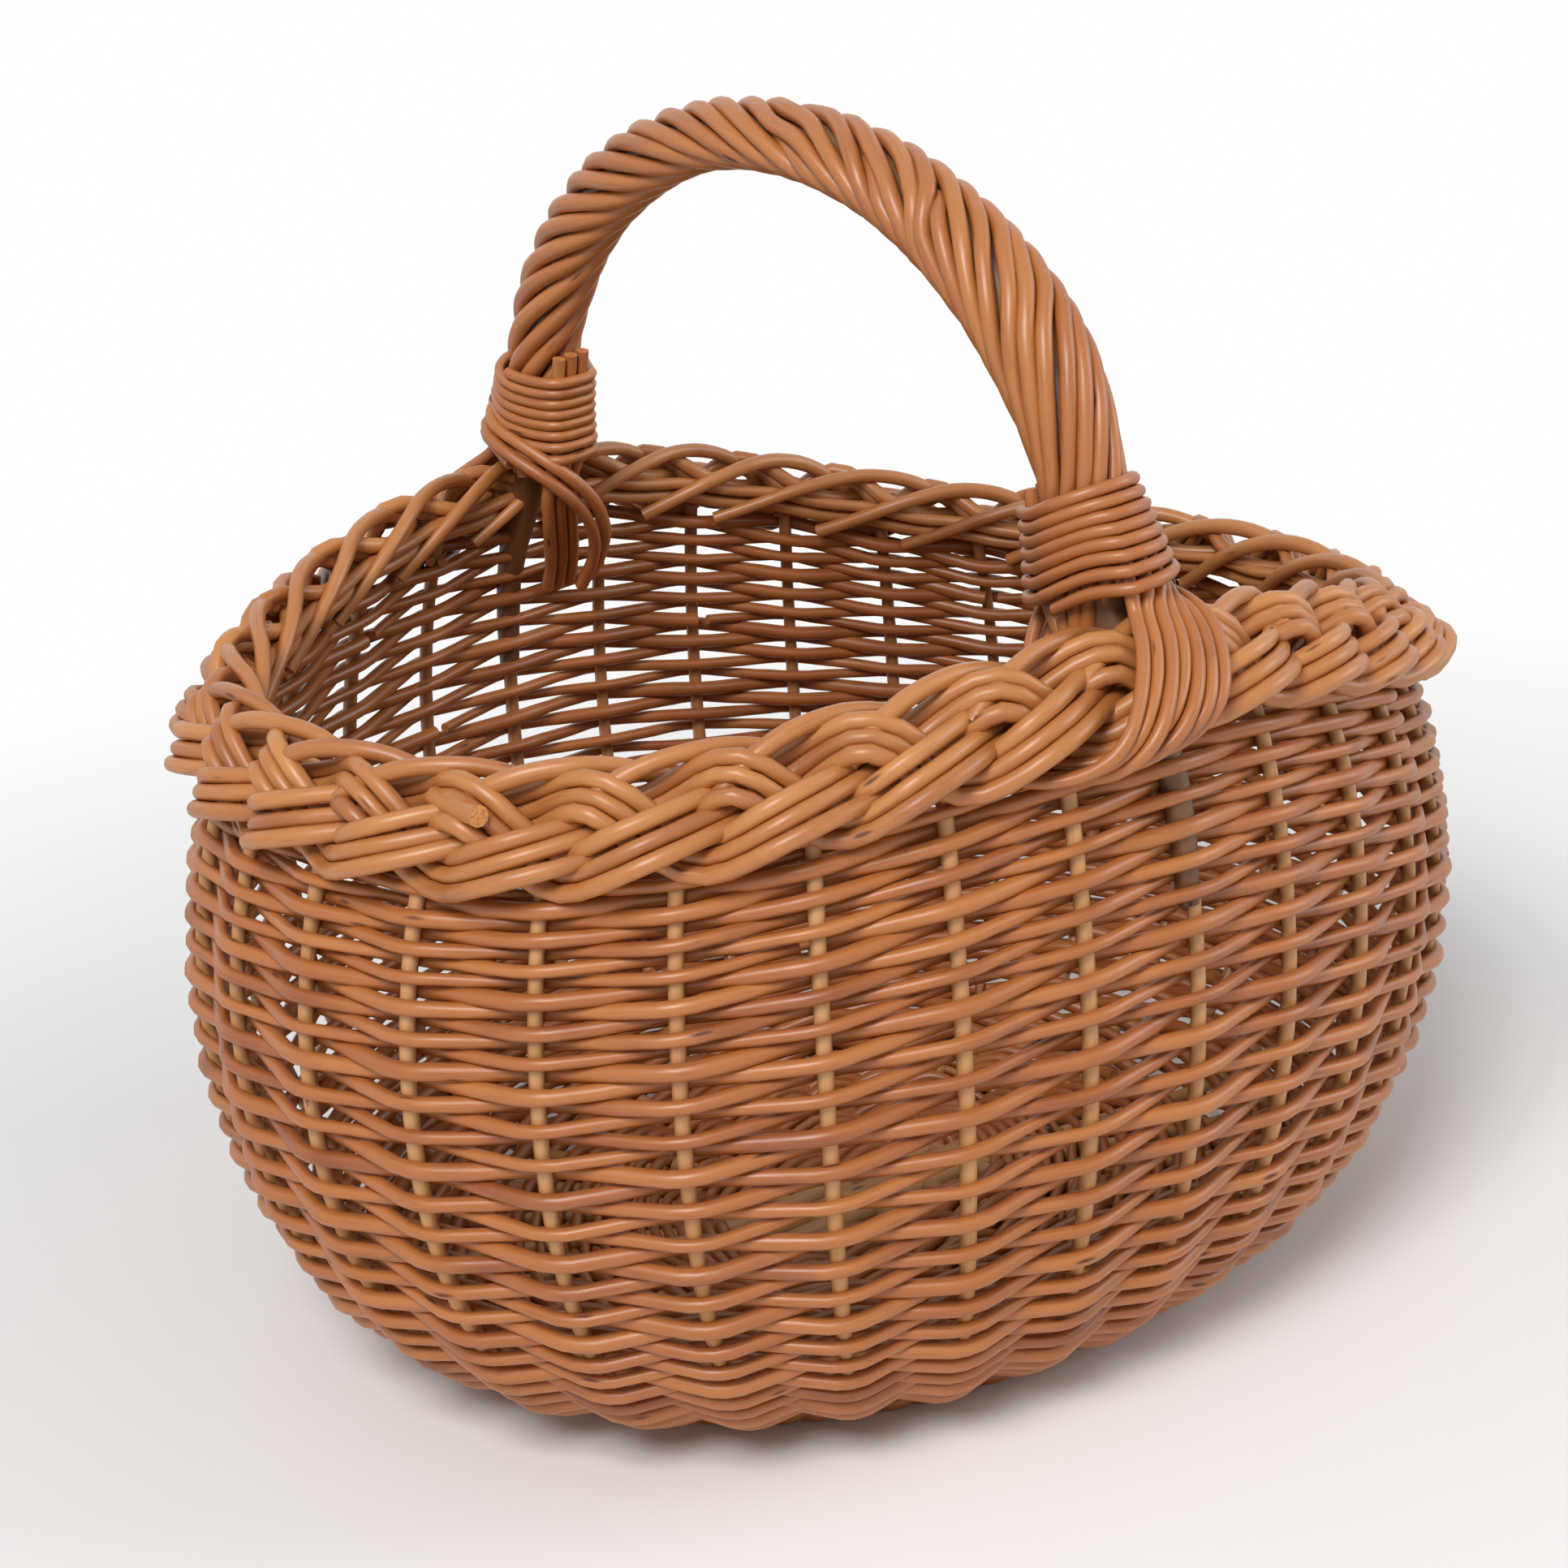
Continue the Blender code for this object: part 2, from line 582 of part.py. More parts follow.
def make_binding(side, name):
    """A spiral round the leg, with a flat where it passes over the three pegs."""
    foot, up, outward = leg_frame(side)
    ring = ROPE_RADIUS + (ROPE_ROD_DIAMETER + BINDING_DIAMETER) / 2 + ROD_GAP + BINDING_SLACK
    flat = PEG_DEPTH + (PEG_DIAMETER + BINDING_DIAMETER) / 2 + ROD_GAP
    corner = (PEGS // 2) * PEG_SPREADS[0] + (PEG_DIAMETER + BINDING_DIAMETER) / 2 + ROD_GAP
    corner_angle = math.atan2(corner, flat)
    rest = BINDING_STEPS - 2
    angles = [corner_angle + (2 * math.pi - 2 * corner_angle) * i / (rest + 1) for i in range(rest + 2)]
    reaches = [math.hypot(corner, flat)] + [ring] * rest + [math.hypot(corner, flat)]
    points = []
    for number in range(BINDING_TURNS * BINDING_STEPS):
        step = number % BINDING_STEPS
        height = BINDING_PITCH * number / BINDING_STEPS
        angle, reach = angles[step], reaches[step]
        inward = outward * -reach * math.cos(angle)
        points.append(foot + up * height + inward + Vector((reach * math.sin(angle), 0, 0)))
    print(name, "least gap between turns, mm:", round(least_gap(points, BINDING_DIAMETER) * 1000, 2))
    rod(name, points, BINDING_DIAMETER, ROPE_COLOUR, sides=6)


def make_pegs(side, name):
    """Three rods that come up the inner side from the siding and stand out of the binding's top."""
    foot, up, outward = leg_frame(side)
    height = BINDING_TURNS * BINDING_PITCH
    for index in range(PEGS):
        rank = index - PEGS // 2
        line = foot - outward * PEG_DEPTH + Vector((rank * PEG_SPREADS[0], 0, 0))
        low = line - up * PEG_DROP
        turn = foot_turn(side) + side * -rank * PEG_SPREADS[2] / RIM_GIRTH
        if rank:
            end = inner_wall(turn, PEG_TAIL_DROP, PEG_DIAMETER)
        else:
            rim = rim_height(angle_at(foot_turn(side)))
            reach = (BOW_DIAMETER + PEG_DIAMETER) / 2 + ROD_GAP
            depth = leg_y(side, rim - PEG_TAIL_DROP)[0] - side * reach
            end = Vector((HANDLE_SHIFT, depth, rim - PEG_TAIL_DROP))
        middle = low.lerp(end, 0.5)
        middle.x = HANDLE_SHIFT + rank * PEG_SPREADS[1]
        middle.y = low.y + (end.y - low.y) * 0.25
        points = [end, middle, low, line, line + up * (height + PEG_STAND)]
        rod(f"{name}_{index + 1}", points, PEG_DIAMETER, ROPE_COLOUR, sides=6)


def main():
    make_heart()
    make_base_weave()
    make_stakes()
    make_foot()
    make_siding()
    make_border()
    make_bow()
    make_rope()
    for side, place in ((-1, "near"), (1, "far")):
        make_binding(side, f"{place}_binding")
        make_pegs(side, f"{place}_peg")


for old in list(bpy.data.objects):
    bpy.data.objects.remove(old)
PARTS = bpy.data.collections.new("foraging_basket")
GUIDES = bpy.data.collections.new("cutters")
bpy.context.scene.collection.children.link(PARTS)
bpy.context.scene.collection.children.link(GUIDES)
main()
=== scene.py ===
# %% [markdown]
# # An oval foraging basket, rod by rod
# A willow basket is nothing but round rods that press on one another: stakes that stand up, weavers
# that pass in front of one stake and behind the next, a plait of three strands along the rim, and a
# bow handle with rods roped round it. This lesson draws each rod as a line that follows the
# maker's rule, and gives all of them their round body with Geometry Nodes.

# %% Load the measured model
import math
import bpy
import numpy as np
from mathutils import Matrix, Vector


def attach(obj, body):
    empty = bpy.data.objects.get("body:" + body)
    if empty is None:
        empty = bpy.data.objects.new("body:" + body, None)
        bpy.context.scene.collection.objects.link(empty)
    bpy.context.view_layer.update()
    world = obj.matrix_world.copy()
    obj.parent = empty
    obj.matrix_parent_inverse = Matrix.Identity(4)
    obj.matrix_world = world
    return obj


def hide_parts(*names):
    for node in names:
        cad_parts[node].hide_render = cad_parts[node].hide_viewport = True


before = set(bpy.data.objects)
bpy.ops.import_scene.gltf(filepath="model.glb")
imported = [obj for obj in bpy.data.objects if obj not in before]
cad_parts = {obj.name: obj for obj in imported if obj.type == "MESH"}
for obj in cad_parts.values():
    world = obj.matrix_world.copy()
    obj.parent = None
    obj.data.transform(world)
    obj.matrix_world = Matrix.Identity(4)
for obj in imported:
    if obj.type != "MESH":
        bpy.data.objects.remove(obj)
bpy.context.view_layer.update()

# %% [markdown]
# ## The camera
# The photograph looks down at the basket from its front left corner, with the camera turned a little
# about its own axis. A camera in Blender looks along its own -Z, so the three columns of its matrix are
# the directions to its right, its top and its back. They are worked out here from two angles and a roll.

# %% Camera
VIEW_ANGLE = math.radians(-37.93)
VIEW_RISE = math.radians(19.51)
VIEW_ROLL = math.radians(-3.75)
VIEW_DISTANCE = 0.89916
VIEW_TARGET = Vector((-0.01768, 0.00079, 0.15379))
FOCAL_PIXELS = 3742.06
FRAME_PIXELS = 1932
SENSOR = 36.0


def shown(name, data):
    """A new object in the scene that holds this data."""
    made = bpy.data.objects.new(name, data)
    bpy.context.scene.collection.objects.link(made)
    return made


back = Vector((math.sin(VIEW_ANGLE) * math.cos(VIEW_RISE), -math.cos(VIEW_ANGLE) * math.cos(VIEW_RISE),
               math.sin(VIEW_RISE)))
level = Vector((math.cos(VIEW_ANGLE), math.sin(VIEW_ANGLE), 0))
upright = back.cross(level)
right = level * math.cos(VIEW_ROLL) + upright * math.sin(VIEW_ROLL)
top = upright * math.cos(VIEW_ROLL) - level * math.sin(VIEW_ROLL)
camera = shown("camera", bpy.data.cameras.new("camera"))
camera.data.sensor_width = SENSOR
camera.data.lens = FOCAL_PIXELS / FRAME_PIXELS * SENSOR
camera.matrix_world = Matrix.Translation(VIEW_TARGET + back * VIEW_DISTANCE) @ Matrix(
    (right, top, back)).transposed().to_4x4()
bpy.context.scene.camera = camera
print("lens, mm:", round(camera.data.lens, 2))

# %% [markdown]
# ## Writing nodes as sums
# Both materials and Geometry Nodes are trees of boxes joined by wires. Placing them by hand in code is
# long and hard to read, so two small classes do it. The first one stands for the bench that a tree is
# built on. Its one method adds any box: first its settings, then what goes into its sockets.

# %% The bench
class Bench:
    """A node tree that is being built."""

    def __init__(self, tree):
        self.tree = tree

    def node(self, kind, settings=None, values=None):
        """Adds a node, gives it its settings and then its values or links, and returns its first output."""
        made = self.tree.nodes.new(kind)
        for key, value in (settings or {}).items():
            setattr(made, key, value)
        usable = [socket for socket in made.inputs if socket.enabled]
        for key, value in (values or {}).items():
            if isinstance(key, int):
                socket = usable[key]
            else:
                socket = next(s for s in usable if key in (s.name, s.identifier))
            if isinstance(value, Value):
                self.tree.links.new(value.socket, socket)
            else:
                socket.default_value = value
        return Value(self, made, next((s for s in made.outputs if s.enabled), None))


print("bench ready")

# %% [markdown]
# ## Values that can stand in a sum
# The second class stands for the output of a box, and lets Python's own signs add the Math box that
# they mean. So 1 - mask is a sum like any other. Where one side is a vector, the class takes Vector
# Math by itself. A smooth step and a mix of two colours are needed so often that they get names too.

# %% Values
class Value:
    """One output of a node. Signs on it add Math nodes, or Vector Math nodes where it is a vector."""

    def __init__(self, bench, made, socket):
        self.bench, self.made, self.socket = bench, made, socket

    def __getitem__(self, name):
        chosen = next(s for s in self.made.outputs if s.enabled and s.name == name)
        return Value(self.bench, self.made, chosen)

    def is_vector(self):
        return self.socket.type in ("VECTOR", "RGBA")

    def math(self, operation, *others):
        """The sum of this value and others, which are values, numbers or triples."""
        values = dict(enumerate((self, *others)))
        vectors = [isinstance(v, tuple) or isinstance(v, Value) and v.is_vector() for v in values.values()]
        kind = "ShaderNodeVectorMath" if any(vectors) else "ShaderNodeMath"
        if operation == "MULTIPLY" and any(vectors) and not all(vectors):
            vector, number = values.values() if vectors[0] else reversed(values.values())
            operation, values = "SCALE", {0: vector, "Scale": number}
        return self.bench.node(kind, {"operation": operation}, values)

    def __add__(self, other):
        return self.math("ADD", other)

    def __sub__(self, other):
        return self.math("SUBTRACT", other)

    def __rsub__(self, number):
        return self.bench.node("ShaderNodeMath", {"operation": "SUBTRACT"}, {0: number, 1: self})

    def __mul__(self, other):
        return self.math("MULTIPLY", other)

    def __truediv__(self, other):
        return self.math("DIVIDE", other)

    __radd__ = __add__
    __rmul__ = __mul__

    def clamped(self, low=0.0, high=1.0):
        return self.bench.node("ShaderNodeClamp", None, {0: self, 1: low, 2: high})

    def from_to(self, low, high):
        """0 below low, 1 above high, and smooth between them."""
        return self.bench.node("ShaderNodeMapRange", {"interpolation_type": "SMOOTHSTEP"},
                               {0: self, 1: low, 2: high})


def mixed(bench, first, second, share):
    """A colour between two colours."""
    return bench.node("ShaderNodeMix", {"data_type": "RGBA"}, {"A": first, "B": second, "Factor": share})


def cleared(holder):
    """A bench on the emptied node tree of a material or a world."""
    holder.use_nodes = True
    holder.node_tree.nodes.clear()
    return Bench(holder.node_tree)


print("values take the signs + - * /")

# %% [markdown]
# ## Floor
# The photograph is a studio picture: white all round, with a soft shadow under the basket. A plane with
# a white paint would turn grey where the light falls off. So the floor is a disc with two shaders: near
# the basket a matt one that takes the shadow, and further out, where only the camera looks, a
# plain white glow at a strength of one. A mask of the distance from the middle blends them.

# %% Floor
FLOOR_REACH, FLOOR_SIDES = 4.0, 96
SHADOW_REACH = (0.24, 0.75)
PALE_GREY, WHITE = (0.93, 0.93, 0.93, 1), (1, 1, 1, 1)

turns = [math.tau * i / FLOOR_SIDES for i in range(FLOOR_SIDES)]
floor_mesh = bpy.data.meshes.new("floor")
floor_mesh.from_pydata([(FLOOR_REACH * math.cos(t), FLOOR_REACH * math.sin(t), 0.0) for t in turns], [],
                       [list(range(FLOOR_SIDES))])
floor_paint = bpy.data.materials.new("white_studio_floor")
bench = cleared(floor_paint)
away = bench.node("ShaderNodeTexCoord")["Object"].math("LENGTH")["Value"]
seen = bench.node("ShaderNodeLightPath")["Is Camera Ray"]
matt = bench.node("ShaderNodeBsdfDiffuse", None, {"Color": PALE_GREY})
glow = bench.node("ShaderNodeEmission", None, {"Color": WHITE, "Strength": 1.0})
blend = bench.node("ShaderNodeMixShader", None,
                   {0: away.from_to(*SHADOW_REACH) * seen, 1: matt, 2: glow})
bench.node("ShaderNodeOutputMaterial", None, {"Surface": blend})
floor_mesh.materials.append(floor_paint)
shown("floor", floor_mesh)
print("floor reaches, m:", FLOOR_REACH)

# %% [markdown]
# ## Sky and lamps
# The light in the picture is soft and comes from above and the left. The sky does two jobs here: the
# camera and the rods' sheen see it white, while it lights the basket with only a part of that, so that the
# gaps in the weave stay dark. A large lamp on the left gives the rods their sheen and the basket its
# shadow, and a weaker one on the right opens the dark side.

# %% Sky and lamps
AMBIENT = 0.36
LAMPS = {"key_lamp": ((-1.5, -1.0, 1.9), 0.9, 46), "side_lamp": ((1.7, -1.3, 1.1), 1.2, 15)}
LAMP_TARGET = Vector((0, 0, 0.15))

world = bpy.data.worlds.new("white_studio")
bpy.context.scene.world = world
bench = cleared(world)
path = bench.node("ShaderNodeLightPath")
straight = (path["Is Camera Ray"] + path["Is Glossy Ray"] + path["Is Transmission Ray"]).clamped()
sky = bench.node("ShaderNodeBackground", None,
                 {"Color": WHITE, "Strength": AMBIENT + straight * (1 - AMBIENT)})
bench.node("ShaderNodeOutputWorld", None, {"Surface": sky})
bpy.context.scene.view_settings.view_transform = "Standard"
for name, (place, size, power) in LAMPS.items():
    lamp = shown(name, bpy.data.lights.new(name, "AREA"))
    lamp.data.size = size
    lamp.data.energy = power
    lamp.location = place
    lamp.rotation_euler = (LAMP_TARGET - Vector(place)).to_track_quat("-Z", "Y").to_euler()
    print(name, "W:", power)

# %% [markdown]
# ## Willow
# Peeled and boiled willow is a warm tan wood with a satin skin. No two rods have the same tone, each
# one shifts slowly from butt to tip, fine streaks run along it, and small dark scars show where leaves
# grew. The pattern has to follow each rod, so the rods carry attributes: "grain" gives each point's
# place along and round its own rod, "rod" is a number of its own for each rod, and "cut" marks the cut
# ends, which show the pale wood inside. A picture of wood would repeat on hundreds of rods, so
# everything comes from noise. The sides that face into the basket can be given painted shade: their
# colour is drawn towards the deep tone, as if less light reached them.

# %% Willow finish
SLOW, STREAKS, BLOTCHES, SCARS = (11, 90, 90), (70, 1100, 1100), (45, 160, 160), (42, 210, 210)
SECOND_CHANCE = 31.7


def willow(name, pale, mid, deep, redness, gloss, seed, painted_inward_shade):
    """A finish for peeled willow, between three tones of one wood."""
    made = bpy.data.materials.new(name)
    bench = cleared(made)
    scar_tone = (deep[0] * 0.28, deep[1] * 0.25, deep[2] * 0.25, 1)
    cut_tone = (*(min(1, c * 1.15) for c in pale), 1)
    pale, mid, deep = (*pale, 1), (*mid, 1), (*deep, 1)
    grain = bench.node("ShaderNodeAttribute", {"attribute_name": "grain"})["Vector"]
    rod = bench.node("ShaderNodeAttribute", {"attribute_name": "rod"})["Fac"]
    cut = bench.node("ShaderNodeAttribute", {"attribute_name": "cut"})["Fac"]

    def chance(number):
        return bench.node("ShaderNodeTexWhiteNoise", {"noise_dimensions": "1D"}, {"W": number})["Value"]

    def noise(stretch, detail, roughness=0.5):
        return bench.node("ShaderNodeTexNoise", None, {"Vector": grain * stretch, "Scale": 1.0,
                                                       "Detail": detail, "Roughness": roughness})["Fac"]

    slow, streaks, blotches = noise(SLOW, 3.0), noise(STREAKS, 5.0, 0.6), noise(BLOTCHES, 4.0)
    cells = bench.node("ShaderNodeTexVoronoi", {"feature": "F1"},
                       {"Vector": grain * SCARS, "Scale": 1.0, "Randomness": 1.0})
    picked = bench.node("ShaderNodeSeparateColor", None, {0: cells["Color"]})["Red"]
    scar = (1 - cells["Distance"].from_to(0.06, 0.17)) * picked.from_to(0.66, 0.7)
    toning = chance(rod + seed) * 0.55 + slow * 0.9 - 0.28
    colour = mixed(bench, pale, mid, toning.clamped())
    reddened = (chance(rod + seed + SECOND_CHANCE) - 0.45) * 1.2 + (blotches - 0.5) * 1.6
    colour = mixed(bench, colour, deep, reddened.from_to(0.25, 1.0) * redness)
    colour = mixed(bench, colour, deep, streaks.from_to(0.52, 0.8) * 0.5)
    colour = mixed(bench, colour, scar_tone, scar * 0.85)
    # Painted shade: sides whose normal faces into the basket are mixed towards the deep tone, as if less
    # light reached them.
    if painted_inward_shade:
        spot = bench.node("ShaderNodeTexCoord")
        inward = (spot["Object"] * (-1, -1, 0)).math("NORMALIZE")
        facing_in = spot["Normal"].math("DOT_PRODUCT", inward)["Value"]
        colour = mixed(bench, colour, deep, facing_in.from_to(-0.1, 0.7) * painted_inward_shade)
    colour = mixed(bench, colour, mixed(bench, cut_tone, mid, streaks.from_to(0.4, 0.7)), cut)
    roughness = (gloss + streaks * 0.22 + scar * 0.25 + cut * 0.3 - 0.08).clamped()
    height = streaks * 0.5 + blotches * 0.5 - scar * 0.8
    bump = bench.node("ShaderNodeBump", None, {"Strength": 0.32, "Distance": 0.0004, "Height": height})
    shader = bench.node("ShaderNodeBsdfPrincipled", None,
                        {"Base Color": colour, "Roughness": roughness, "Normal": bump, "Coat Weight": 0.12,
                         "Coat Roughness": 0.32})
    bench.node("ShaderNodeOutputMaterial", None, {"Surface": shader})
    return made


print("patterns per metre along and across a rod:", SLOW[:2], STREAKS[:2], BLOTCHES[:2], SCARS[:2])

# %% [markdown]
# ## Five kinds of willow
# The stakes are cut from paler rods than the weavers. The border's rods are the freshest looking, the
# roped ones a little deeper, and the bow is a thick stick with its bark left on in places. One recipe
# with other tones keeps them one family: three tones, how red and how rough, a seed, and how
# much painted shade darkens the side that faces into the basket.

# %% Five finishes
# The last number of each finish is the strength of the painted shade on the side that faces into the basket.
FINISHES = {
    "weaver_willow": ((0.49, 0.178, 0.045), (0.34, 0.095, 0.020), (0.20, 0.046, 0.011), 0.75, 0.36, 0.0, 0.3),
    "stake_willow": ((0.62, 0.330, 0.130), (0.47, 0.215, 0.074), (0.26, 0.085, 0.030), 0.4, 0.4, 3.1, 0.6),
    "border_willow": ((0.56, 0.240, 0.072), (0.40, 0.132, 0.034), (0.24, 0.060, 0.016), 0.7, 0.36, 5.3, 0.0),
    "rope_willow": ((0.49, 0.185, 0.052), (0.36, 0.110, 0.028), (0.21, 0.050, 0.013), 0.75, 0.36, 8.9, 0.0),
    "bow_wood": ((0.25, 0.108, 0.037), (0.15, 0.060, 0.020), (0.08, 0.029, 0.011), 0.8, 0.45, 2.2, 0.0)}
WILLOWS = {name: willow(name, *values) for name, values in FINISHES.items()}
print("willow finishes:", list(WILLOWS))

# %% [markdown]
# ## A tree and its inputs
# A Geometry Nodes tree has named inputs, as a function has, so one tree can serve thin rods and thick
# ones. It passes numbers from one step to the next as attributes of the points. These helpers make a
# new tree, read and write an attribute, and give the slow unevenness that a grown rod has.

# %% A tree with named inputs
SOCKETS = {"Geometry": "NodeSocketGeometry", "Material": "NodeSocketMaterial"}


def new_tree(name, inputs):
    """A Geometry Nodes tree with one output and these inputs, each with its first value."""
    tree = bpy.data.node_groups.new(name, "GeometryNodeTree")
    tree.interface.new_socket("Geometry", in_out="OUTPUT", socket_type="NodeSocketGeometry")
    for label, start in inputs.items():
        kind = SOCKETS.get(label) or ("NodeSocketInt" if isinstance(start, int) else "NodeSocketFloat")
        made = tree.interface.new_socket(label, in_out="INPUT", socket_type=kind)
        if start is not None:
            made.default_value = start
    bench = Bench(tree)
    source = bench.node("NodeGroupInput")
    return bench, {label: source[label] for label in inputs}


def attribute(bench, name, kind="FLOAT"):
    return bench.node("GeometryNodeInputNamedAttribute", {"data_type": kind}, {"Name": name})


def stored(bench, geometry, name, value, kind="FLOAT", domain="POINT"):
    return bench.node("GeometryNodeStoreNamedAttribute", {"data_type": kind, "domain": domain},
                      {"Geometry": geometry, "Name": name, "Value": value})


def position(bench):
    return bench.node("GeometryNodeInputPosition")


def knots(bench, scale):
    """Slow unevenness of a rod's thickness, round about 0.5."""
    return bench.node("ShaderNodeTexNoise", None,
                      {"Vector": position(bench), "Scale": scale, "Detail": 2.0})["Fac"]


print("kinds of input besides numbers:", list(SOCKETS))

# %% [markdown]
# ## One tree that makes rods round
# Every rod is a line first. A tree turns lines into round rods: it sweeps a circle along each line,
# scales it by the line's own thickness, closes the ends, and writes down where each point lies on its
# rod, for the finish. A bevelled curve would be round too, but can't write that down. The same last
# steps end the weaving tree further on, so they are a function.

# %% Round rods
ROD_SHIFT = 0.731


def round_body(bench, lines, thick, sides, material):
    """Sweeps a circle along the lines and writes down grain, rod and cut ends."""
    circle = bench.node("GeometryNodeCurvePrimitiveCircle", {"mode": "RADIUS"},
                        {"Resolution": sides, "Radius": 1.0})
    circle = stored(bench, circle, "rim", position(bench), "FLOAT_VECTOR")
    lines = stored(bench, lines, "along", bench.node("GeometryNodeSplineParameter")["Length"])
    lines = stored(bench, lines, "thick", thick)
    body = bench.node("GeometryNodeCurveToMesh", None,
                      {"Curve": lines, "Profile Curve": circle, "Scale": thick, "Fill Caps": True})
    rim = bench.node("ShaderNodeSeparateXYZ", None, {0: attribute(bench, "rim", "FLOAT_VECTOR")})
    wide = attribute(bench, "thick")
    along = attribute(bench, "along") + attribute(bench, "rod") * ROD_SHIFT
    grain = bench.node("ShaderNodeCombineXYZ", None, {"X": along, "Y": rim["X"] * wide, "Z": rim["Y"] * wide})
    body = stored(bench, body, "grain", grain, "FLOAT_VECTOR")
    corners = bench.node("GeometryNodeInputMeshFaceNeighbors")["Vertex Count"]
    end = bench.node("FunctionNodeCompare", {"data_type": "INT", "operation": "GREATER_THAN"},
                     {"A": corners, "B": 4})
    body = stored(bench, body, "cut", end, "FLOAT", "FACE")
    skin = bench.node("FunctionNodeBooleanMath", {"operation": "NOT"}, {0: end})
    body = bench.node("GeometryNodeSetShadeSmooth", {"domain": "FACE"},
                      {"Geometry": body, "Shade Smooth": skin})
    body = bench.node("GeometryNodeRealizeInstances", None, {"Geometry": body})
    body = bench.node("GeometryNodeSetMaterial", None, {"Geometry": body, "Material": material})
    bench.node("NodeGroupOutput", None, {"Geometry": body})


bench, given = new_tree("round rods", {"Geometry": None, "Sides": 10, "Wobble": 0.06, "Material": None})
curve = bench.node("GeometryNodeMeshToCurve", None, {"Mesh": given["Geometry"]})
round_body(bench, curve, attribute(bench, "thick") * (1 + (knots(bench, 90.0) - 0.5) * given["Wobble"] * 2),
           given["Sides"], given["Material"])
ROUND_RODS = bench.tree
print("tree:", ROUND_RODS.name, len(ROUND_RODS.nodes), "nodes")

# %% [markdown]
# ## Running a tree
# A tree runs on a guide: a mesh that holds bare lines, or later a sheet. The modifier gets its inputs by
# their identifiers, the result is kept as a plain mesh, and the guide goes. Each finished piece then
# rides on the basket's one body, since nothing on the real basket moves, and takes the place of the
# plainer parts of the measured model that it stands for.

# %% Running a tree, and lines as a guide
def grown(tree, guide, name, settings):
    """Runs a tree on its guide, and keeps the result as a plain mesh at the origin."""
    modifier = guide.modifiers.new("grow", "NODES")
    modifier.node_group = tree
    for item in tree.interface.items_tree:
        if item.item_type == "SOCKET" and item.in_out == "INPUT" and item.name in settings:
            modifier[item.identifier] = settings[item.name]
    bpy.context.view_layer.update()
    mesh = bpy.data.meshes.new_from_object(guide.evaluated_get(bpy.context.evaluated_depsgraph_get()))
    mesh.name = name
    guide.modifiers.clear()
    bpy.data.objects.remove(guide)
    print(name, "triangles:", sum(len(p.vertices) - 2 for p in mesh.polygons))
    return shown(name, mesh)


def placed(piece, replaced):
    """Sets a piece on the body, in place of the measured parts that it stands for."""
    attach(piece, "root")
    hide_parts(*replaced)


def guide_lines(rods):
    """A mesh of bare lines. A rod is (points, radius or radii, number), with a True at the end if closed."""
    places, joins, thick, number = [], [], [], []
    for points, radius, own, *closed in rods:
        first, count = len(places), len(points)
        places += [tuple(p) for p in points]
        joins += [(first + i, first + i + 1) for i in range(count - 1)]
        if closed:
            joins.append((first + count - 1, first))
        thick += list(np.broadcast_to(radius, count))
        number += [own] * count
    mesh = bpy.data.meshes.new("guide")
    mesh.from_pydata(places, joins, [])
    for label, values in (("thick", thick), ("rod", number)):
        made = mesh.attributes.new(label, "FLOAT", "POINT")
        made.data.foreach_set("value", np.array(values, dtype=np.float32))
    return shown("guide", mesh)


def rods_piece(name, rods, finish, replaced, sides=10):
    """Round rods on these lines as one piece, with the finish as their material."""
    piece = grown(ROUND_RODS, guide_lines(rods), name, {"Sides": sides, "Material": WILLOWS[finish]})
    placed(piece, replaced)


print("round rods take lines with a thickness and a number")

# %% [markdown]
# ## The rule of the wall
# Seen from above the basket is an oval a little squarer than an ellipse. Its wall starts at the foot,
# swells to a belly and draws in again under the rim, and the rim line itself dips at the two ends. The
# wall is written as one curve of shares of the rim's oval, so any place on it has a turn, how far
# round it lies, and a climb, how far up.

# %% Oval, rim line and wall
RIM_LENGTH, RIM_WIDTH = 0.370, 0.298
RIM_HALF = np.array((RIM_LENGTH / 2, RIM_WIDTH / 2))
RIM_HEIGHT, RIM_SADDLE, RIM_LEAN, RIM_SHOULDER = 0.1985, 0.0145, 0.0098, 0.0038
OVAL_POWER = 2.08
WALL_OUT = (0.69, 1.0, 1.18, 0.974)
WALL_RISE = (0.0, 0.02, 0.565, 1.0)
BASE_LEVEL = 0.01088
STAKE_TOP_DROP = 0.0060
STAKES, STAKE_RADIUS = 31, 0.0022


def oval(angle):
    c, s = np.cos(angle), np.sin(angle)
    reach = (np.abs(c) ** OVAL_POWER + np.abs(s) ** OVAL_POWER) ** (-1 / OVAL_POWER)
    return np.stack([reach * c, reach * s], axis=-1)


def lengths(points):
    """Length along a row of points."""
    return np.concatenate(([0.0], np.cumsum(np.linalg.norm(np.diff(points, axis=0), axis=1))))


ANGLES = np.linspace(0, math.tau, 1441)
GIRTHS = lengths(oval(ANGLES) * RIM_HALF)
RIM_GIRTH = GIRTHS[-1]


def angle_at(turn):
    return np.interp(np.mod(turn, 1.0), GIRTHS / RIM_GIRTH, ANGLES)


def rim_height(angle):
    return (RIM_HEIGHT - RIM_SADDLE * np.cos(2 * angle) - RIM_LEAN * np.cos(angle)
            + RIM_SHOULDER * np.cos(4 * angle))


def bezier(shares, t):
    a, b, c, d = shares
    return (1 - t) ** 3 * a + 3 * t * (1 - t) ** 2 * b + 3 * t * t * (1 - t) * c + t ** 3 * d


def raised(flat, height):
    """Places on the ground, lifted to a height or to heights of their own."""
    height = np.broadcast_to(np.asarray(height)[..., None], flat.shape[:-1] + (1,))
    return np.concatenate([flat, height], axis=-1)


